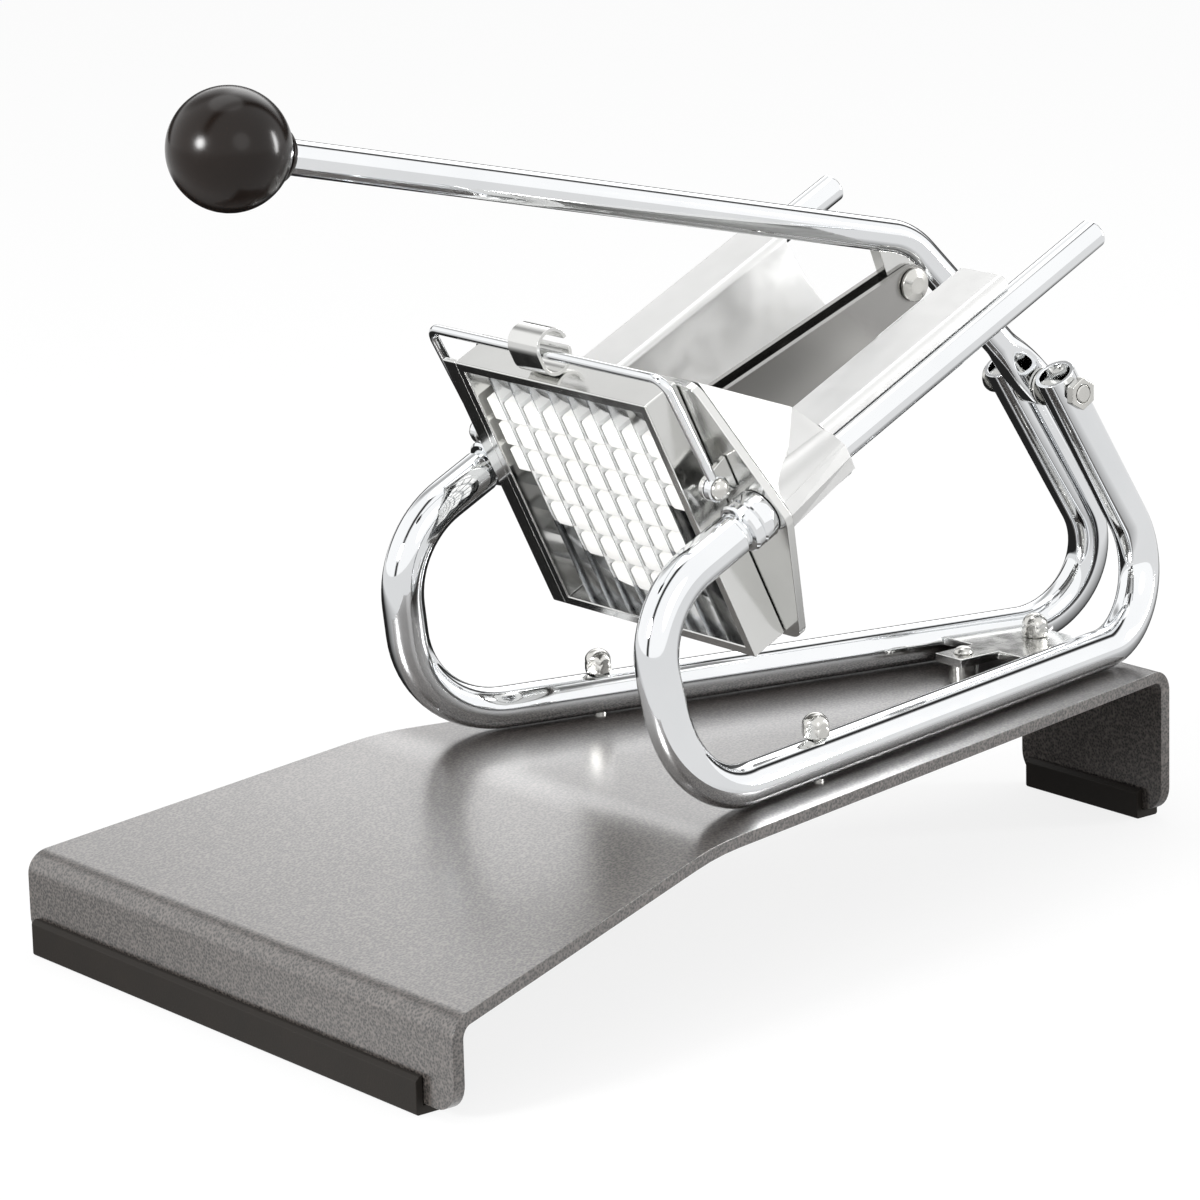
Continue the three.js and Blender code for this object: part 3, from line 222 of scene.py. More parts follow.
def circle(radius, sides):
    """Points at equal angles: radius cos(a), radius sin(a)."""
    angle = np.linspace(0, 2 * math.pi, sides, endpoint=False)
    return radius * np.stack([np.cos(angle), np.sin(angle)], -1)


def squared_circle(power, sides):
    """Circles drawn out towards squares, one for each power: each point of a circle is divided by
    (|x|^power + |y|^power)^(1 / power), which leaves the circle as it is at a power of 2."""
    ring, power = circle(1.0, sides)[None], power[:, None, None]
    return ring / (np.abs(ring) ** power).sum(-1, keepdims=True) ** (1 / power)


def hexagon(apothem, sides=48):
    """Radius of a hexagon at equal angles: the apothem over the cosine of the angle from the nearest flat."""
    angle = np.linspace(0, 2 * math.pi, sides, endpoint=False)
    return apothem / np.cos((angle + math.pi / 6) % (math.pi / 3) - math.pi / 6)


def dome(radius, start, rise, steps):
    """Quarter of an ellipse from rim to crown, in (radius, distance) pairs: radius cos(a),
    start + rise sin(a)."""
    angle = np.linspace(0, math.pi / 2, steps)
    return np.column_stack([radius * np.cos(angle), start + rise * np.sin(angle)])


def washer(bore, rim, start, stop, edge):
    """A ring from start to stop with its outer edges broken by edge, in (radius, distance) pairs."""
    return [(bore, start), (rim - edge, start), (rim, start + edge), (rim, stop - edge),
            (rim - edge, stop), (bore, stop)]


def revolve(profile, centre, axis, sides=48, hollow=False, limit=np.inf):
    """A profile of (radius, distance) pairs turned round an axis: each point is
    centre + distance axis + radius (cos(a) one normal + sin(a) the other). A hollow shape joins its
    profile's ends. No radius is over the limit, which may change with the angle as a nut's flats do."""
    profile, axis = np.asarray(profile, float), unit(axis)
    one = unit(np.cross(axis, UPRIGHT if abs(axis @ UPRIGHT) < 0.9 else ALONG))
    spokes = circle(1.0, sides) @ np.stack([one, np.cross(axis, one)])
    radii = np.minimum(profile[:, :1], np.broadcast_to(limit, sides))
    points = np.asarray(centre) + profile[:, 1, None, None] * axis + radii[..., None] * spokes
    return skin(points, rows=hollow)


def skin(points, rows=False, columns=True, caps=False):
    """Faces of a grid of points: each takes a point, its neighbour in the row and the two of the next
    row. rows and columns join the last to the first, and caps close both end rows with a flat face."""
    count, ring = points.shape[:2]
    index = np.arange(count * ring).reshape(count, ring)
    ends = [index[0].tolist(), index[-1].tolist()]
    if rows:
        index = np.vstack([index, index[:1]])
    if columns:
        index = np.hstack([index, index[:, :1]])
    quads = np.stack([index[:-1, :-1], index[:-1, 1:], index[1:, 1:], index[1:, :-1]], -1)
    return points.reshape(-1, 3), quads.reshape(-1, 4).tolist() + (ends if caps else [])


def many(shape, moves):
    """The same closed grid of points at several places: each copy is the grid plus its own move."""
    points, faces = shape
    copies = (points[None] + moves[:, None]).reshape(-1, 3)
    shift = len(points)
    return copies, [[i + n * shift for i in face] for n in range(len(moves)) for face in faces]


def block(low, high):
    """A box between two corners as a grid: four upright edges, two rows, with flat caps."""
    (x0, y0, z0), (x1, y1, z1) = low, high
    ring = np.array([[x0, y0], [x1, y0], [x1, y1], [x0, y1]])
    return skin(layers(ring, ((z0, 1), (z1, 1)), 2), caps=True)


def in_head(*shapes):
    """Shapes in head coordinates, moved into the row frame."""
    return [(head(points), faces) for points, faces in shapes]


def piece(name, node, finish, *shapes, **looks):
    """One object in a CAD node's place, from one or more shapes: their points and faces in one mesh,
    doubles merged and normals turned outwards."""
    mesh = bpy.data.meshes.new(name)
    faces, start = [], 0
    for points, shape_faces in shapes:
        faces += [[i + start for i in face] for face in shape_faces]
        start += len(points)
    mesh.from_pydata(np.concatenate([points for points, _ in shapes]).tolist(), [], faces)
    work = bmesh.new()
    work.from_mesh(mesh)
    bmesh.ops.remove_doubles(work, verts=work.verts, dist=SAME_POINT)
    bmesh.ops.dissolve_degenerate(work, edges=work.edges, dist=SAME_POINT)
    bmesh.ops.recalc_face_normals(work, faces=work.faces)
    work.to_mesh(mesh)
    work.free()
    dress(name, mesh, node, finish, **looks)


def merged_copy(name, node, finish, bevel=0.0004, **looks):
    """A finer stand-in for a CAD node of the right shape: its triangles are merged, flat areas become
    single faces, and the sharp edges are rounded."""
    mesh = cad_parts[node].data.copy()
    mesh.materials.clear()
    work = bmesh.new()
    work.from_mesh(mesh)
    bmesh.ops.remove_doubles(work, verts=work.verts, dist=SAME_CAD_POINT)
    bmesh.ops.dissolve_limit(work, angle_limit=FLAT_ANGLE, verts=work.verts, edges=work.edges)
    work.to_mesh(mesh)
    work.free()
    dress(name, mesh, node, finish, bevel=bevel, **looks)


def put(name, data):
    """A new object in the scene."""
    made = bpy.data.objects.new(name, data)
    bpy.context.scene.collection.objects.link(made)
    return made


def dress(name, mesh, node, finish, body="frame", bevel=0.0, segments=2, wall=0.0, sharp=35.0):
    """What all pieces share: the finish's material, smooth shading up to an angle, a wall and rounded edges
    by modifiers, a place under the body's empty, and the CAD node that the piece stands for hidden."""
    made = put(name, mesh)
    mesh.materials.append(finish_of(finish))
    mesh.shade_smooth()
    mesh.set_sharp_from_angle(angle=math.radians(sharp))
    if wall:
        solid = made.modifiers.new("Wall", "SOLIDIFY")
        solid.thickness = wall
        solid.offset = 0.0
        solid.use_even_offset = True
    if bevel:
        edge = made.modifiers.new("Edge", "BEVEL")
        edge.width = bevel
        edge.segments = segments
        edge.limit_method = "ANGLE"
        edge.angle_limit = math.radians(sharp)
        edge.harden_normals = True
    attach(made, body)
    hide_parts(node)


# ---- materials

def linear(code):
    """An sRGB hex colour as linear red, green, blue and alpha."""
    values = np.array([int(code[i:i + 2], 16) for i in (1, 3, 5)]) / 255
    values = np.where(values <= 0.04045, values / 12.92, ((values + 0.055) / 1.055) ** 2.4)
    return (*values.tolist(), 1.0)


def add(tree, kind, inputs=None, **settings):
    """Adds one node: settings are its own properties, and inputs gives a socket a value or a link, from
    a socket or from a node's first output in use."""
    made = tree.nodes.new(kind)
    for key, value in settings.items():
        setattr(made, key, value)
    for key, value in (inputs or {}).items():
        if isinstance(value, bpy.types.Node):
            value = next(socket for socket in value.outputs if socket.enabled)
        if isinstance(value, bpy.types.NodeSocket):
            tree.links.new(value, made.inputs[key])
        else:
            made.inputs[key].default_value = value
    return made


def start_material(name):
    """An empty node tree with the piece's own coordinates in metres."""
    material = bpy.data.materials.new(name)
    material.use_nodes = True
    tree = material.node_tree
    tree.nodes.clear()
    return material, tree, add(tree, "ShaderNodeTexCoord").outputs["Object"]


def per_metre(size):
    """Pattern scale for features of a given size in metres."""
    return 1.0 / size


# Where nearly all values of a noise lie
NOISE_RANGE = {"From Min": 0.3, "From Max": 0.7}


def worked_metal(name, light, dark, roughness, wear, depth, stretch=None, pitch=None):
    """Plated, polished, blasted or rolled metal: a cloud of 35 mm changes the tint, smears of 6 mm
    change the roughness, and the smears, or lines stretched along the rods' slope, ripple the normal."""
    material, tree, place = start_material(name)
    cloud, smear = (add(tree, "ShaderNodeTexNoise", {
        "Vector": place, "Scale": per_metre(size), "Detail": detail})
        for size, detail in ((0.035, 3.0), (0.006, 4.0)))
    tint = add(tree, "ShaderNodeMix", {0: cloud, 6: linear(light), 7: linear(dark)}, data_type="RGBA")
    rough = add(tree, "ShaderNodeMapRange", {
        "Value": smear, **NOISE_RANGE, "To Min": roughness, "To Max": roughness + wear})
    relief = smear
    if stretch:
        sloped = add(tree, "ShaderNodeMapping", {
            "Vector": place, "Rotation": (0.0, HEAD_TILT, 0.0), "Scale": stretch})
        relief = add(tree, "ShaderNodeTexNoise", {
            "Vector": sloped, "Scale": per_metre(pitch), "Detail": 2.0})
    bump = add(tree, "ShaderNodeBump", {"Height": relief, "Strength": 0.25, "Distance": depth})
    shader = add(tree, "ShaderNodeBsdfPrincipled", {
        "Base Color": tint, "Metallic": 1.0, "Roughness": rough, "Normal": bump})
    add(tree, "ShaderNodeOutputMaterial", {"Surface": shader})
    return material


# Material name, light and dark tint, roughness, what wear adds to it, depth of the relief in metres,
# and for a lined metal the stretch of its lines in head directions and their spacing in metres
METALS = {
    # Bright nickel-chrome plate on drawn steel tube: mirror gloss with barely visible drawing ripple
    "chrome": ("chrome_plated_tube", "#F1F2F3", "#E2E4E6", 0.035, 0.035, 0.00002),
    # Polished stainless sheet: a softer mirror than chrome, with fine belt lines along the rods
    "sheet": ("polished_stainless_sheet", "#E6E6E4", "#D4D4D2", 0.11, 0.07, 0.00002,
              (0.06, 1.0, 1.0), 0.0006),
    # Ground and polished stainless blade stock, bright enough to mirror the white pegs, with grinding
    # lines drawn coarser than real to show
    "blade": ("ground_stainless_blade", "#E4E5E6", "#D8D9DA", 0.1, 0.1, 0.00003,
              (1.0, 0.08, 0.08), 0.0005),
    # Glass-blasted stainless sheet of the trough: pale and even, with only broad soft reflections
    "satin": ("blasted_stainless_sheet", "#E6E6E5", "#DCDCDB", 0.34, 0.08, 0.00001),
    # Blasted stainless of the housing: a shade greyer than the trough as painted shade, so that it isn't
    # burnt out
    "housing": ("blasted_housing_sheet", "#D2D2D1", "#C8C8C7", 0.4, 0.08, 0.00001),
    # Rolled bright strip of the two arm plates, with lines along the arm; greyer than the sheet as painted
    # shade for the arm down in the trough
    "strip": ("strip_steel_with_painted_shade", "#999896", "#908F8D", 0.26, 0.01, 0.000008,
              (0.03, 1.0, 1.0), 0.0009),
    # Nickel-plated turned steel of bolts, nuts and pins: a little duller than the tubes
    "fixing": ("nickel_plated_steel", "#DAD9D5", "#C4C3BF", 0.12, 0.1, 0.00001),
}


def hammered_enamel(colours):
    """Hammer-finish stoving enamel over sheet steel: dark grey pools about a millimetre wide
    between lighter raised rims, under a semi-gloss skin that mirrors pale surroundings at low angles."""
    material, tree, place = start_material("hammer_finish_enamel")
    pools = add(tree, "ShaderNodeTexVoronoi", {
        "Vector": place, "Scale": per_metre(0.0009), "Smoothness": 0.35}, feature="SMOOTH_F1")
    specks = add(tree, "ShaderNodeTexNoise", {
        "Vector": place, "Scale": per_metre(0.001), "Detail": 4.0, "Roughness": 0.7})
    cloud = add(tree, "ShaderNodeTexNoise", {"Vector": place, "Scale": per_metre(0.05), "Detail": 2.0})
    blend = add(tree, "ShaderNodeMath", {0: pools, 1: specks}, operation="MULTIPLY")
    share = add(tree, "ShaderNodeMapRange", {"Value": blend, "From Min": 0.08, "From Max": 0.4})
    tone = add(tree, "ShaderNodeMix", {
        0: share, 6: (*colours.enamel_dark, 1.0), 7: (*colours.enamel_light, 1.0)}, data_type="RGBA")
    rough = add(tree, "ShaderNodeMapRange", {
        "Value": cloud, **NOISE_RANGE, "To Min": 0.32, "To Max": 0.38})
    bump = add(tree, "ShaderNodeBump", {"Height": blend, "Strength": 0.14, "Distance": 0.0001})
    shader = add(tree, "ShaderNodeBsdfPrincipled", {
        "Base Color": tone, "Metallic": 0.3, "Roughness": rough, "IOR": 1.6, "Coat Weight": 1.0,
        "Coat Roughness": 0.22, "Coat IOR": 1.7, "Normal": bump})
    add(tree, "ShaderNodeOutputMaterial", {"Surface": shader})
    return material


def moulded(name, tints, marks, grain, detail, strength, depth, constants, rough=None):
    """A moulding: flow marks turn one tint into the other and, between the two values of rough, change
    the gloss, while a grain ripples the normal. Both are given by their size in metres, and constants
    go to the shader's own sockets."""
    material, tree, place = start_material(name)
    marks, grain = (add(tree, "ShaderNodeTexNoise", {
        "Vector": place, "Scale": per_metre(size), "Detail": fine})
        for size, fine in ((marks, 3.0), (grain, detail)))
    tone = add(tree, "ShaderNodeMix", {0: marks, 6: tints[0], 7: tints[1]}, data_type="RGBA")
    bump = add(tree, "ShaderNodeBump", {"Height": grain, "Strength": strength, "Distance": depth})
    looks = {"Base Color": tone, "Normal": bump, **constants}
    if rough:
        looks["Roughness"] = add(tree, "ShaderNodeMapRange", {
            "Value": marks, **NOISE_RANGE, "To Min": rough[0], "To Max": rough[1]})
    shader = add(tree, "ShaderNodeBsdfPrincipled", looks)
    add(tree, "ShaderNodeOutputMaterial", {"Surface": shader})
    return material


def extruded_rubber(colours):
    """Extruded nitrile rubber: near black and matte, with a fine mould texture and dusty high spots."""
    return moulded("extruded_nitrile_rubber", (linear("#0E0A05"), linear("#18110A")), marks=0.012,
                   grain=0.0008, detail=4.0, strength=0.4, depth=0.0001,
                   constants={"Roughness": 0.62, "IOR": 1.52, "Specular IOR Level": 0.3})


def white_acetal(colours):
    """Injection moulded white acetal: slightly waxy, with faint flow marks and potato-worn dull spots."""
    return moulded("moulded_white_acetal", ((*colours.acetal, 1.0), linear("#ECEBE8")), marks=0.018,
                   grain=0.0011, detail=3.0, strength=0.2, depth=0.00004, constants={"IOR": 1.48},
                   rough=(0.3, 0.42))


def black_phenolic(colours):
    """Compression moulded phenolic: deep black with a faint brown cast and a high moulded gloss."""
    return moulded("moulded_black_phenolic", ((*colours.knob, 1.0), linear("#150D08")), marks=0.014,
                   grain=0.014, detail=3.0, strength=0.1, depth=0.0001, constants={"IOR": 1.38},
                   rough=(0.17, 0.22))


COATS_AND_MOULDINGS = {"enamel": hammered_enamel, "rubber": extruded_rubber, "acetal": white_acetal,
                       "phenolic": black_phenolic}


@functools.cache
def finish_of(name):
    """The material of that finish, made the first time that a piece asks for it."""
    if name in METALS:
        return worked_metal(*METALS[name])
    return COATS_AND_MOULDINGS[name](bpy.context.scene.cutter_colours)


# ---- sizes and colours

def length(name, description, value):
    """A length property in metres."""
    return FloatProperty(name=name, description=description, default=value, min=0.0,
                         subtype="DISTANCE", unit="LENGTH", precision=4)


def colour(name, description, code):
    """A colour property whose default is an sRGB hex code turned linear."""
    return FloatVectorProperty(name=name, description=description, default=linear(code)[:3], min=0.0,
                               max=1.0, size=3, subtype="COLOR")


class CutterSizes(bpy.types.PropertyGroup):
    """Sizes of the cutter that a user would change."""

    tube_radius: length("Tube radius", "Outside radius of the bent side tubes", 0.007)
    tube_wall: length("Tube wall", "Wall of the side tubes", 0.0015)
    rod_radius: length("Rod radius", "Radius of the two guide rods", 0.005)
    rod_length: length("Rod top", "How far the rods reach past the blade grid's face", 0.172)
    lever_radius: length("Lever radius", "Radius of the lever bar", 0.0055)
    knob_radius: length("Knob radius", "Radius of the ball knob", 0.01899)
    base_sheet: length("Base sheet", "Thickness of the folded base", 0.004)
    base_bend: length("Base bend", "Bend radius of the base's two flanges", 0.006)
    trough_sheet: length("Trough sheet", "Thickness of the potato trough", 0.0015)
    blade_thickness: length("Blade thickness", "Thickness of each blade", 0.0009)
    blade_depth: length("Blade depth", "Depth of each layer of blades", 0.0056)
    peg_side: length("Peg side", "Width of the pusher's square pegs", 0.0084)
    bail_wire: length("Bail wire", "Radius of the wire bail", 0.0016)


class CutterColours(bpy.types.PropertyGroup):
    """Colours of the cutter that a user would change."""

    enamel_dark: colour("Enamel pools", "Dark pools of the hammer finish", "#0B0A09")
    enamel_light: colour("Enamel rims", "Light rims of the hammer finish", "#625C58")
    acetal: colour("Pusher", "White plastic of the pusher", "#FAFAF8")
    knob: colour("Knob", "Black plastic of the knob", "#120B07")
    floor: colour("Floor", "Studio floor", "#F4F4F4")


# ---- operators

class CUTTER_OT_side_tubes(bpy.types.Operator):
    """Bends the two side tubes from the collars round the front, along the base and up to the pivot"""

    bl_idname = "cutter.side_tubes"
    bl_label = "Side Tubes"

    def execute(self, context):
        sizes = context.scene.cutter_sizes
        radius = sizes.tube_radius
        height = REAR_TOP + radius + RUNNING_GAP
        for name, side in SIDES:
            rear = BASE_ORIGIN + [TUBE_REAR_X, side * 0.011, height]
            pivot = PIVOT + [0.0, side * PIVOT_SIDE, 0.0]
            corners = [head([0.001, side * ROD_SIDE, ROD_HEIGHT]),
                       head([-0.039, side * ROD_SIDE, ROD_HEIGHT]),
                       BASE_ORIGIN + [0.1254, side * 0.0695, height], rear,
                       pivot + unit(pivot - rear) * 0.007]
            points, ways = bent_path(corners, TUBE_BENDS)
            outer = carry(circle(radius, 48), points, ways)
            inner = carry(circle(radius - sizes.tube_wall, 48), points, ways)
            piece(f"{name}_bent_tube", f"{name}_frame_tube", "chrome",
                  skin(np.concatenate([outer, inner[::-1]]), rows=True), bevel=0.0003, sharp=50.0)
        return {"FINISHED"}


class CUTTER_OT_guide_rods(bpy.types.Operator):
    """Turns the two guide rods and the waisted collars that join them to the tubes"""

    bl_idname = "cutter.guide_rods"
    bl_label = "Guide Rods and Collars"

    def execute(self, context):
        sizes = context.scene.cutter_sizes
        radius, end, foot = sizes.rod_radius, sizes.rod_length, -0.011
        fillet, chamfer = 0.001, 0.0005
        nose = dome(fillet, end - fillet, fillet, 6) + [radius - fillet, 0.0]
        rod = [(0.0, foot), (radius - chamfer, foot), (radius, foot + chamfer), *nose, (0.0, end)]
        neck, shoulder, waist, bore, back = 0.006, 0.0085, 0.0079, 0.0053, 0.0124
        collar = [(bore, 0.0), (neck - 0.0002, 0.0), (neck, 0.0002), (neck, 0.0022), (0.0063, 0.0024),
                  (0.0078, 0.0024), (shoulder, 0.0032), (shoulder, 0.0056), (waist, 0.0062),
                  (shoulder, 0.0068), (shoulder, 0.0113), (0.0078, back), (bore, back)]
        for name, side in SIDES:
            spot = head([0.0, side * ROD_SIDE, ROD_HEIGHT])
            piece(f"{name}_rod", f"{name}_guide_rod", "chrome", revolve(rod, spot, ALONG),
                  sharp=40.0)
            seat = spot + ALONG * 0.0013
            piece(f"{name}_ringed_collar", f"{name}_collar", "chrome",
                  revolve(collar, seat, ALONG, hollow=True), sharp=40.0)
        return {"FINISHED"}


class CUTTER_OT_base(bpy.types.Operator):
    """Folds the tapered base sheet and pushes a rubber strip over each lower edge"""

    bl_idname = "cutter.base"
    bl_label = "Base and Rubber Strips"

    def execute(self, context):
        sizes = context.scene.cutter_sizes
        half = sizes.base_sheet / 2
        back, flat = BASE_LENGTH - half, REAR_TOP - half
        fold = [[half, 0.0, SOLE], [half, 0.0, FRONT_TOP - half], [FOLD_X, 0.0, flat],
                [back, 0.0, flat], [back, 0.0, SOLE]]
        line, _ = bent_path(fold, (sizes.base_bend, FOLD_RADIUS, sizes.base_bend))
        # Both flanges have round lower corners, and get more rows there. Half the width falls in a
        # straight line from front to rear, less what the corner's quarter circle takes off
        drop = dome(1.0, 0.0, 1.0, 9)[:, 0]
        rows = np.zeros((len(drop), 3))
        rows[:, 2] = SOLE + BASE_CORNER * (1 - drop)
        line = np.concatenate([rows + [half, 0.0, 0.0], line[1:-1], (rows + [back, 0.0, 0.0])[::-1]])
        low = np.clip((line[:, 2] - SOLE) / BASE_CORNER, 0, 1)
        width = BASE_FRONT_HALF + (BASE_REAR_HALF - BASE_FRONT_HALF) * line[:, 0] / BASE_LENGTH
        width = width - BASE_CORNER * (1 - np.sqrt(1 - (1 - low) ** 2))
        grid = spread_sheet(line, width[:, None] * np.linspace(-1, 1, 25), 1)
        piece("folded_base", "base_plate", "enamel", skin(grid + BASE_ORIGIN, columns=False),
              bevel=0.0009, segments=3, wall=sizes.base_sheet, sharp=50.0)
        for name, node in (("front_sole", "front_rubber_strip"), ("rear_sole", "rear_rubber_strip")):
            lowest, highest = np.array(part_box(node))
            top, chamfer = highest[2], 0.0006
            outer, inner = (highest[0] - lowest[0]) / 2, half + RUNNING_GAP
            slant = (outer - inner) / 2
            section = mirrored([(outer - chamfer, 0.0), (outer, chamfer), (outer, top - slant),
                                (outer - slant, top), (inner, top), (inner, SOLE - RUNNING_GAP)], [-1, 1])
            section[:, 0] += (lowest[0] + highest[0]) / 2
            rows = layers(section, ((lowest[1], 1), (highest[1], 1)), 1)
            piece(name, node, "rubber", skin(rows, caps=True), bevel=0.0003, sharp=30.0)
        return {"FINISHED"}


class CUTTER_OT_base_fixings(bpy.types.Operator):
    """Makes the cross strap, its spacers, and the bolts and dome nuts that hold the tubes"""

    bl_idname = "cutter.base_fixings"
    bl_label = "Base Fixings"

    def execute(self, context):
        merged_copy("cross_strap", "rear_cross_strap", "sheet")
        skirt, shank, tip = 0.0032, 0.0025, 0.0005
        for node in ("near_front_dome_nut", "far_front_dome_nut", "rear_strap_dome_nut"):
            foot, height = foot_of(node)
            crown = height - skirt
            profile = [(0.0, 0.0), (0.0042, 0.0), (0.0047, 0.0004), (0.0047, skirt - 0.0005),
                       (0.0042, skirt), *dome(crown, skirt, crown, 9)]
            piece(f"{node}_acorn", node, "fixing",
                  revolve(profile, foot, PLUMB, limit=hexagon(0.0041)), sharp=40.0)
        for node in ("near_front_bolt", "far_front_bolt", "rear_strap_bolt"):
            foot, height = foot_of(node)
            profile = [(0.0, 0.0), (0.0042, 0.0), (0.0048, 0.0006), (0.0048, 0.003), (shank, 0.003),
                       (shank, height - tip), (shank - tip, height), (0.0, height)]
            piece(f"{node}_turned", node, "fixing", revolve(profile, foot, PLUMB, 32))
        for node in ("rear_strap_spacer", "front_strap_spacer"):
            foot, height = foot_of(node)
            profile = washer(0.0028, 0.005, 0.0, height, 0.0003)
            piece(f"{node}_turned", node, "fixing", revolve(profile, foot, PLUMB, 32, hollow=True))
        foot, height = foot_of("front_strap_screw")
        pan = 0.0022
        profile = [(0.0, 0.0), (shank, 0.0), (shank, height - pan), *dome(0.0034, height - pan, pan, 7)]
        piece("pan_head_screw", "front_strap_screw", "fixing", revolve(profile, foot, PLUMB, 32))
        return {"FINISHED"}


def trough_line(half):
    """Middle line of the trough sheet in head coordinates, from half its thickness: flanges, round
    bottom and short turned lips."""
    wall, lip, top = TROUGH_HALF + half, TROUGH_FLANGE_HALF - half, FLANGE_TOP - half
    near = [(0.0, -lip, 0.0073), (0.0, -lip, top), (0.0, -wall, top), (0.0, -wall, TROUGH_BOTTOM - half)]
    radii = (0.002, 0.002, TROUGH_RADIUS + half)
    return bent_path(mirrored(near, [1, -1, 1]), radii + radii[::-1])[0]


class CUTTER_OT_head(bpy.types.Operator):
    """Makes the six sided head plate, the housing behind it and the potato trough"""

    bl_idname = "cutter.head"
    bl_label = "Head Plate, Housing and Trough"

    def execute(self, context):
        sheet = context.scene.cutter_sizes.trough_sheet
        merged_copy("window_plate", "head_plate", "sheet", bevel=0.0005)
        merged_copy("cheek_housing", "head_housing", "housing", bevel=0.0009, segments=3, sharp=20.0)
        grid = spread_sheet(trough_line(sheet / 2), np.linspace(TROUGH_FRONT, TROUGH_REAR, 9), 0)
        piece("rolled_trough", "potato_trough", "satin", skin(head(grid), columns=False), bevel=0.0003,
              wall=sheet, sharp=50.0)
        return {"FINISHED"}


class CUTTER_OT_blade_grid(bpy.types.Operator):
    """Makes the box frame of the blade grid and its two layers of ground blades"""

    bl_idname = "cutter.blade_grid"
    bl_label = "Blade Grid"

    def execute(self, context):
        sizes = context.scene.cutter_sizes
        outer = GRID_HALF + GRID_WALL
        square = np.array([[-1, -1], [1, -1], [1, 1], [-1, 1]], float)
        loops = [(0.0, outer), (GRID_DEPTH, outer), (GRID_DEPTH, GRID_HALF), (0.0, GRID_HALF)]
        rows = layers(square, loops)
        flange = block((0.0, outer - 0.0005, -outer), (0.0018, outer + 0.0065, outer))
        piece("grid_box_frame", "grid_frame", "sheet", *in_head(skin(rows, rows=True), flange),
              bevel=0.0005, segments=3, sharp=30.0)
        blade, edge, bevel, strip = sizes.blade_thickness / 2, 0.00006, 0.0016, 0.0012
        places = (np.arange(CELLS - 1) - (CELLS - 2) / 2) * CELL
        outermost = places[-1] + blade
        for name, start, across, up in (("upright", 0.0014, 1, 2), ("cross", 0.0073, 2, 1)):
            stop = start + sizes.blade_depth
            ground = mirrored([(start, edge), (start + bevel, blade), (stop, blade)], [1, -1])
            rows = np.zeros((2, len(ground), 3))
            rows[..., 0], rows[..., across] = ground[:, 0], ground[:, 1]
            rows[..., up] = [[-BLADE_END], [BLADE_END]]
            moves = np.zeros((len(places), 3))
            moves[:, across] = places
            shapes = [many(skin(rows, caps=True), moves)]
            for side in (-1, 1):
                low, high = np.zeros(3), np.zeros(3)
                low[0], high[0] = start + 0.0006, stop
                low[across], high[across] = -outermost, outermost
                low[up], high[up] = sorted((side * (BLADE_END - strip), side * BLADE_END))
                shapes.append(block(low, high))
            piece(f"{name}_ground_blades", f"{name}_blades", "blade", *in_head(*shapes), sharp=20.0)
        return {"FINISHED"}


class CUTTER_OT_bail(bpy.types.Operator):
    """Bends the wire bail over the grid, with its lugs, pins and the rolled clip on its top bar"""

    bl_idname = "cutter.bail"
    bl_label = "Bail and Clip"

    def execute(self, context):
        wire = context.scene.cutter_sizes.bail_wire
        side, top, plane, forward, height = 0.0596, 0.058, 0.0032, 0.005, 0.016
        bore, rim = 0.0023, 0.0042
        foot = height + rim - wire
        corners = mirrored([(forward, -side, foot), (plane, -side, top)], [1, -1, 1])
        points, ways = bent_path(head(corners), (0.005, 0.005))
        shapes = [skin(carry(circle(wire, 16), points, ways, ALONG), caps=True)]
        eye = washer(bore, rim, -wire, wire, 0.0005)
        for _, sign in SIDES:
            spot = head([forward, sign * side, height])
            shapes.append(revolve(eye, spot, ACROSS, 32, hollow=True))
        piece("bent_wire_bail", "wire_bail", "chrome", *shapes, body="bail")
        shank, lug = 0.002, 0.002
        inner, face = side - wire - RUNNING_GAP - lug, side + wire + RUNNING_GAP
        pin = [(0.0, inner), (shank, inner), (shank, face), *dome(0.0036, face, 0.0022, 6)]
        for name, sign in SIDES:
            merged_copy(f"{name}_ear", f"{name}_bail_lug", "sheet")
            turned = revolve(pin, head([forward, 0.0, height]), ACROSS * sign, 32)
            piece(f"{name}_ear_pin", f"{name}_bail_pin", "fixing", turned)
        # The clip's line, from above: back to front over the bar, down before it and back below
        sheet, half_depth, middle, half_width = 0.0012, 0.0056, 0.006, 0.0075
        bottom, top = 0.0488 + sheet / 2, 0.0646 - sheet / 2
        front = plane - wire - RUNNING_GAP - sheet / 2
        rear = front + 2 * half_depth
        profile = [[rear, 0.0, bottom + half_depth], [rear, 0.0, bottom], [front, 0.0, bottom],
                   [front, 0.0, top], [rear, 0.0, top], [rear, 0.0, top - half_depth]]
        line, _ = bent_path(profile, (half_depth - 0.00015,) * 4)
        grid = spread_sheet(line, middle + np.linspace(-half_width, half_width, 7), 1)
        piece("rolled_clip", "latch_clip", "sheet", skin(head(grid), columns=False), body="clip",
              bevel=0.00025, wall=sheet, sharp=50.0)
        return {"FINISHED"}


def rounded_bottom(half, bottom, top, radius):
    """Outline of the pusher: straight sides and top, and a quarter circle at each lower corner, whose
    points are its centre - radius cos(a), - radius sin(a)."""
    angle = np.linspace(0, math.pi / 2, 14)
    corner = np.column_stack([radius - half - radius * np.cos(angle),
                              bottom + radius - radius * np.sin(angle)])
    return mirrored([(-half, top), *corner], [-1, 1])


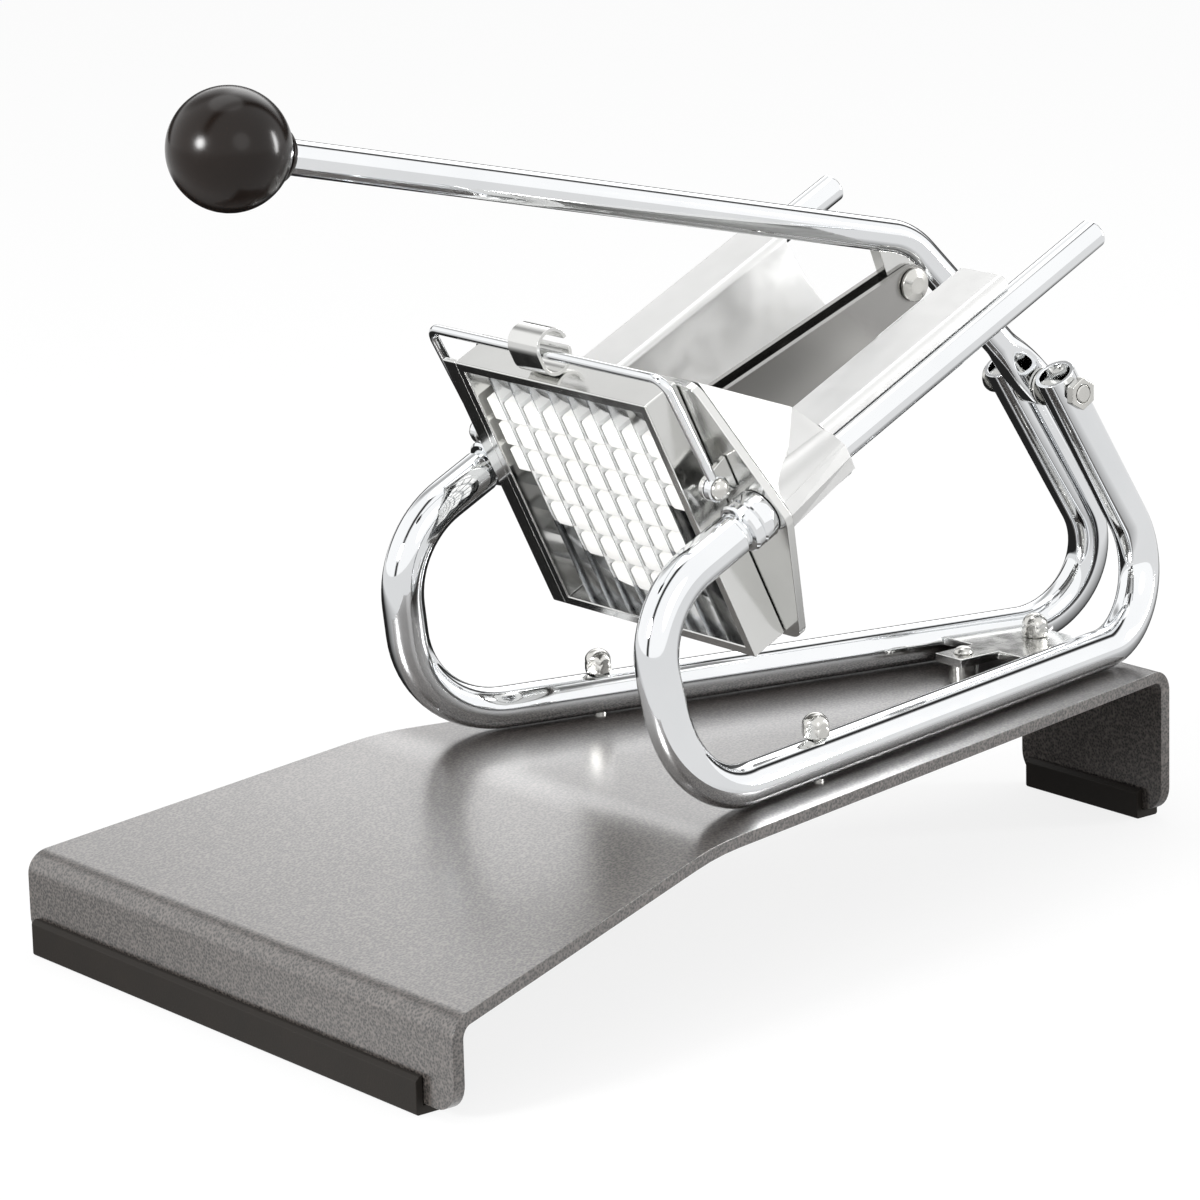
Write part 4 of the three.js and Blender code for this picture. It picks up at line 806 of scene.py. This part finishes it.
def held_in_outline(points, half, radius, centre_z):
    """Pegs cut to the pusher's outline: a point past a side is put on it, and one past a round lower
    corner is drawn in along the corner's spoke, to the radius from the corner's centre."""
    points[:, 1] = np.clip(points[:, 1], -half, half)
    past = np.abs(points[:, 1]) - (half - radius)
    spoke = np.stack([np.sign(points[:, 1]) * np.maximum(past, 0),
                      np.minimum(points[:, 2] - centre_z, 0)], -1)
    shrink = np.minimum(radius / np.maximum(np.linalg.norm(spoke, axis=1), PUSHER_GAP), 1) - 1
    points[:, 1:] += spoke * shrink[:, None]
    return points


class CUTTER_OT_pusher(bpy.types.Operator):
    """Makes the pusher slab with its field of square pegs, and the yoke, pin and screws behind it"""

    bl_idname = "cutter.pusher"
    bl_label = "Pusher"

    def execute(self, context):
        side, radius = TROUGH_HALF - PUSHER_GAP, TROUGH_RADIUS - PUSHER_GAP
        bottom = TROUGH_BOTTOM + PUSHER_GAP
        centre_z = bottom + radius
        outline = rounded_bottom(side, bottom, PUSHER_TOP, radius)
        slab = layers(outline, ((0.019, 1), (0.029, 1)))
        half, cut = context.scene.cutter_sizes.peg_side / 2, 0.0009
        square = mirrored(mirrored([(half, half - cut), (half - cut, half)], [-1, 1]), [1, -1])
        # A peg from its root in the slab to its face: where each row stands and its share of the side
        levels = [(0.0195, 1.0), (0.0026, 0.985), (0.0021, 0.95), (0.002, 0.9)]
        peg = layers(square, levels)
        index = np.arange(CELLS) - (CELLS - 1) / 2
        column, row = (axis.ravel() * CELL for axis in np.meshgrid(index, index))
        # A peg is kept where its lower outer corner is inside the outline, or at most 2 mm past it
        past = np.abs(column) + half - (side - radius)
        under = np.minimum(row - half - centre_z, 0)
        kept = (np.hypot(past, under) - radius <= 0.002) & (row + half < PUSHER_TOP + 0.0005)
        moves = np.column_stack([np.zeros(kept.sum()), column[kept], row[kept]])
        pegs, peg_faces = many(skin(peg, caps=True), moves)
        pegs = held_in_outline(pegs, side, radius, centre_z)
        piece("pegged_pusher", "pusher_block", "acetal",
              *in_head(skin(slab, caps=True), (pegs, peg_faces)), body="pusher", sharp=40.0)
        merged_copy("pin_yoke", "pusher_yoke", "sheet", body="pusher")
        for node in ("pusher_pin", "near_yoke_screw", "far_yoke_screw"):
            merged_copy(f"{node}_turned", node, "fixing", body="pusher", bevel=0.0002)
        return {"FINISHED"}


class CUTTER_OT_arm(bpy.types.Operator):
    """Makes the two arm plates between lever and pusher, with their spacer and link pin"""

    bl_idname = "cutter.arm"
    bl_label = "Arm"

    def execute(self, context):
        for name, _ in SIDES:
            merged_copy(f"{name}_arm_cheek", f"{name}_arm_plate", "strip", body="arm")
        for node in ("arm_spacer", "link_pin", "link_pin_nut"):
            merged_copy(f"{node}_turned", node, "fixing", body="arm", bevel=0.0003)
        return {"FINISHED"}


def lever_rings(radius, to_knob, to_pivot):
    """The lever bar as rings along its bent path. It is round up to the tongue. There its size and
    squareness go over by the share 3 t^2 - 2 t^3 into a flat bar's with rounded corners. Its end is a
    half circle round the pivot: each ring stands wide sin(a) past it and is wide cos(a) tall."""
    tongue, flat, wide = 0.024, 0.004, 0.0066
    points, ways = bent_path([KNOB - to_knob * 0.0017, LEVER_BEND, PIVOT - to_pivot * tongue], (0.028,))
    ease = np.linspace(0, 1, 9)[1:]
    angle = np.linspace(0, math.pi / 2, 10)[:-1]
    reach = np.concatenate([ease * (tongue - wide) - tongue, wide * np.sin(angle)])
    points = np.concatenate([points, PIVOT + reach[:, None] * to_pivot])
    ways = np.concatenate([ways, np.repeat(ways[-1:], len(reach), 0)])
    share = np.concatenate([np.zeros(len(points) - len(reach)), ease * ease * (3 - 2 * ease),
                            np.ones(len(angle))])
    size = radius + (np.array([flat, wide]) - radius) * share[:, None]
    size[-len(angle):, 1] *= np.cos(angle)
    return carry(squared_circle(2 + 5 * share, 40) * size[:, None], points, ways)


class CUTTER_OT_lever(bpy.types.Operator):
    """Bends the lever bar, flattens its end at the pivot and adds lug, knob and pivot fastenings"""

    bl_idname = "cutter.lever"
    bl_label = "Lever and Knob"

    def execute(self, context):
        sizes = context.scene.cutter_sizes
        to_knob, to_pivot = unit(KNOB - LEVER_BEND), unit(PIVOT - LEVER_BEND)
        rings = lever_rings(sizes.lever_radius, to_knob, to_pivot)
        piece("bent_lever", "lever_bar", "chrome", skin(rings, caps=True), body="lever", sharp=50.0)
        merged_copy("welded_lug", "lever_lug", "sheet", body="lever", bevel=0.0006)
        # The ball is cut flat where the lever enters it, with a broken edge and a blind bore
        ball, face, blind = sizes.knob_radius, 0.0174, 0.016
        bore = sizes.lever_radius + RUNNING_GAP
        mouth = math.sqrt(ball ** 2 - face ** 2)
        arc = np.linspace(math.pi, math.asin(mouth / ball) + 0.05, 40)[1:]
        profile = [(0.0, -ball), *(ball * np.column_stack([np.sin(arc), np.cos(arc)])),
                   (mouth + 0.0002, face - 0.0002), (mouth - 0.0006, face), (bore, face),
                   (bore, face - blind), (0.0, face - blind)]
        piece("ball_knob", "lever_knob", "phenolic", revolve(profile, KNOB, -to_knob, 64),
              body="lever", sharp=40.0)
        seat = KNOB - to_knob * (face + RUNNING_GAP)
        ring = [(bore, 0.0), (0.0082, 0.0), (0.0085, 0.0003), (0.0083, 0.0012), (0.0074, 0.0022),
                (bore, 0.0022)]
        piece("knob_collar", "knob_ring", "phenolic", revolve(ring, seat, -to_knob, hollow=True),
              body="lever", sharp=40.0)
        merged_copy("pivot_nut_hex", "pivot_nut", "fixing", bevel=0.0003)
        face, shank, rim = PIVOT_SIDE + sizes.tube_radius + RUNNING_GAP, 0.003, 0.0056
        tail, tip = -face - 0.0034, 0.0004
        bolt = [(0.0, tail), (shank - tip, tail), (shank, tail + tip), (shank, face), (rim, face),
                *dome(rim, face + 0.0008, 0.0026, 7)]
        piece("pivot_bolt_turned", "pivot_bolt", "fixing", revolve(bolt, PIVOT, ACROSS, 40),
              sharp=40.0)
        for name, _ in SIDES:
            node = f"{name}_pivot_washer"
            low, high = np.array(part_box(node))
            half = (high[1] - low[1]) / 2
            profile = washer(0.0033, 0.0065, -half, half, 0.0002)
            piece(f"{node}_turned", node, "fixing",
                  revolve(profile, (low + high) / 2, ACROSS, 40, hollow=True))
        return {"FINISHED"}


# ---- studio

def split_rays(tree):
    """Two sockets: whether a ray is seen straight or through glass, and whether it is a reflection."""
    path = add(tree, "ShaderNodeLightPath")
    seen = add(tree, "ShaderNodeMath", {
        0: path.outputs["Is Camera Ray"], 1: path.outputs["Is Transmission Ray"]}, operation="MAXIMUM")
    return seen.outputs[0], path.outputs["Is Glossy Ray"]


def studio_floor(colours):
    """Matte pale floor that keeps the cutter's shadow. The camera sees it whitened by a share of its own
    light, and gloss sees the level that its range gives: a painted reflection, dark round a spot beside the
    cutter as painted shade."""
    material, tree, place = start_material("matte_studio_floor")
    seen, glossy = split_rays(tree)
    grain = add(tree, "ShaderNodeTexNoise", {"Vector": place, "Scale": per_metre(0.004)})
    tone = add(tree, "ShaderNodeMix", {0: grain, 6: (*colours.floor, 1.0), 7: linear("#EFEFEF")},
               data_type="RGBA")
    matte = add(tree, "ShaderNodeBsdfDiffuse", {"Color": tone})
    white = add(tree, "ShaderNodeEmission", {"Strength": 1.0})
    # Painted shade in reflections: gloss sees a dark emission round a spot beside the cutter, paler further
    # off
    away = add(tree, "ShaderNodeVectorMath", {0: place, 1: FLOOR_SHADE_SPOT}, operation="DISTANCE")
    level = add(tree, "ShaderNodeMapRange", {"Value": away, **FLOOR_RANGE})
    painted_reflection = add(tree, "ShaderNodeEmission", {"Strength": level})
    share = add(tree, "ShaderNodeMath", {0: seen, 1: FLOOR_WHITENESS}, operation="MULTIPLY")
    lit = add(tree, "ShaderNodeMixShader", {0: share, 1: matte, 2: white})
    mixed = add(tree, "ShaderNodeMixShader", {0: glossy, 1: lit, 2: painted_reflection})
    add(tree, "ShaderNodeOutputMaterial", {"Surface": mixed})
    return material


def studio_air():
    """The world: white to the camera, an even fill to matt surfaces, and to gloss a white tent with
    painted reflections: the dark ring, the dark stripe, the bright glow as a painted highlight and the grey
    patch as painted shade. Each turns the cosine between a direction and its own into a level. The ring's
    outer edge adds its widening times the square of the sideways cosine, and the stripe's cosine loses its
    sign. The levels are multiplied."""
    world = bpy.data.worlds.new("studio_air")
    world.use_nodes = True
    tree = world.node_tree
    tree.nodes.clear()
    seen, glossy = split_rays(tree)
    way = add(tree, "ShaderNodeTexCoord").outputs["Generated"]
    ahead, beside, across, panel, high = (
        add(tree, "ShaderNodeVectorMath", {0: way, 1: tuple(direction)}, operation="DOT_PRODUCT")
        for direction in (CAMERA_AHEAD, CAMERA_RIGHT, PAINTED_STRIPE_NORMAL, PAINTED_BACK_GLOW, PAINTED_GREY_PATCH))
    # Painted reflection: a dark ring round the camera's way of looking draws dark edge lines on chrome
    square = add(tree, "ShaderNodeMath", {0: beside, 1: beside}, operation="MULTIPLY")
    widened = add(tree, "ShaderNodeMath", {0: square, 1: RING_WIDENING, 2: ahead},
                  operation="MULTIPLY_ADD")
    outer = add(tree, "ShaderNodeMapRange", {"Value": widened, **RING_OUTER})
    inner = add(tree, "ShaderNodeMapRange", {"Value": ahead, **RING_INNER})
    ring = add(tree, "ShaderNodeMath", {0: outer, 1: inner}, operation="MAXIMUM")
    # Painted reflection: an upright dark stripe that puts a dark line along the chrome tubes
    off = add(tree, "ShaderNodeMath", {0: across}, operation="ABSOLUTE")
    level = add(tree, "ShaderNodeMapRange", {"Value": off, **PAINTED_STRIPE_RANGE})
    # Painted highlight: a bright glow behind the cutter that only gloss sees, for the sheen on the base
    painted_glow = add(tree, "ShaderNodeMapRange", {"Value": panel, **PAINTED_BACK_GLOW_RANGE})
    # Painted shade: a grey patch, seen only by gloss, that darkens what mirrors it
    painted_grey = add(tree, "ShaderNodeMapRange", {"Value": high, **PAINTED_GREY_PATCH_RANGE})
    for factor in (painted_glow, ring, painted_grey):
        level = add(tree, "ShaderNodeMath", {0: level, 1: factor}, operation="MULTIPLY")
    tent, fill, back = (add(tree, "ShaderNodeBackground", {"Color": (1, 1, 1, 1), "Strength": strength})
                        for strength in (level, FILL_LEVEL, 1.0))
    unseen = add(tree, "ShaderNodeMixShader", {0: glossy, 1: fill, 2: tent})
    mixed = add(tree, "ShaderNodeMixShader", {0: seen, 1: unseen, 2: back})
    add(tree, "ShaderNodeOutputWorld", {"Surface": mixed})
    return world


def set_up(name, data, right, up, back, spot):
    """A lamp or camera whose own x, y and z run right, up and back, at a spot in the row frame."""
    holder = put(name, data)
    place = np.eye(4)
    place[:3] = np.column_stack([right, up, back, spot])
    holder.matrix_world = Matrix(place.tolist())
    return holder


class CUTTER_OT_stage(bpy.types.Operator):
    """Sets the pale floor, the soft studio light and the camera"""

    bl_idname = "cutter.stage"
    bl_label = "Studio"

    def execute(self, context):
        mesh = bpy.data.meshes.new("studio_floor")
        half = FLOOR_HALF
        mesh.from_pydata([(-half, -half, 0), (half, -half, 0), (half, half, 0), (-half, half, 0)],
                         [], [(0, 1, 2, 3)])
        put("studio_floor", mesh)
        mesh.materials.append(studio_floor(context.scene.cutter_colours))
        context.scene.world = studio_air()

        for name, spot, width, height, power in SOFTBOXES:
            lamp = bpy.data.lights.new(name, "AREA")
            lamp.shape, lamp.size, lamp.size_y, lamp.energy = "ELLIPSE", width, height, power
            back = unit(spot - LAMP_TARGET)
            right = unit(np.cross(PLUMB, back))
            set_up(name, lamp, right, np.cross(back, right), back, spot)

        lens = bpy.data.cameras.new("product_camera")
        lens.lens, lens.sensor_width = CAMERA_LENS, CAMERA_SENSOR
        lens.clip_start, lens.clip_end = CAMERA_CLIP
        context.scene.camera = set_up("product_camera", lens, CAMERA_RIGHT, CAMERA_UP, -CAMERA_AHEAD,
                                      CAMERA_PLACE)
        context.scene.view_settings.view_transform = "Standard"
        return {"FINISHED"}


OPERATORS = (
    CUTTER_OT_side_tubes,
    CUTTER_OT_guide_rods,
    CUTTER_OT_base,
    CUTTER_OT_base_fixings,
    CUTTER_OT_head,
    CUTTER_OT_blade_grid,
    CUTTER_OT_bail,
    CUTTER_OT_pusher,
    CUTTER_OT_arm,
    CUTTER_OT_lever,
    CUTTER_OT_stage,
)


class CUTTER_PT_panel(bpy.types.Panel):
    """Lists the cutter's sizes, colours and build steps"""

    bl_idname = "CUTTER_PT_panel"
    bl_label = "French Fry Cutter"
    bl_space_type = "VIEW_3D"
    bl_region_type = "UI"
    bl_category = "Cutter"

    def draw(self, context):
        for group in (context.scene.cutter_sizes, context.scene.cutter_colours):
            box = self.layout.box()
            for key in group.__annotations__:
                box.prop(group, key)
        for operator in OPERATORS:
            self.layout.operator(operator.bl_idname)


CLASSES = (CutterSizes, CutterColours, *OPERATORS, CUTTER_PT_panel)


def register():
    for item in CLASSES:
        bpy.utils.register_class(item)
    bpy.types.Scene.cutter_sizes = PointerProperty(type=CutterSizes)
    bpy.types.Scene.cutter_colours = PointerProperty(type=CutterColours)


def unregister():
    del bpy.types.Scene.cutter_colours
    del bpy.types.Scene.cutter_sizes
    for item in reversed(CLASSES):
        bpy.utils.unregister_class(item)


def main():
    register()
    for operator in OPERATORS:
        group, name = operator.bl_idname.split(".")
        getattr(getattr(bpy.ops, group), name)()


if __name__ == "__main__":
    main()
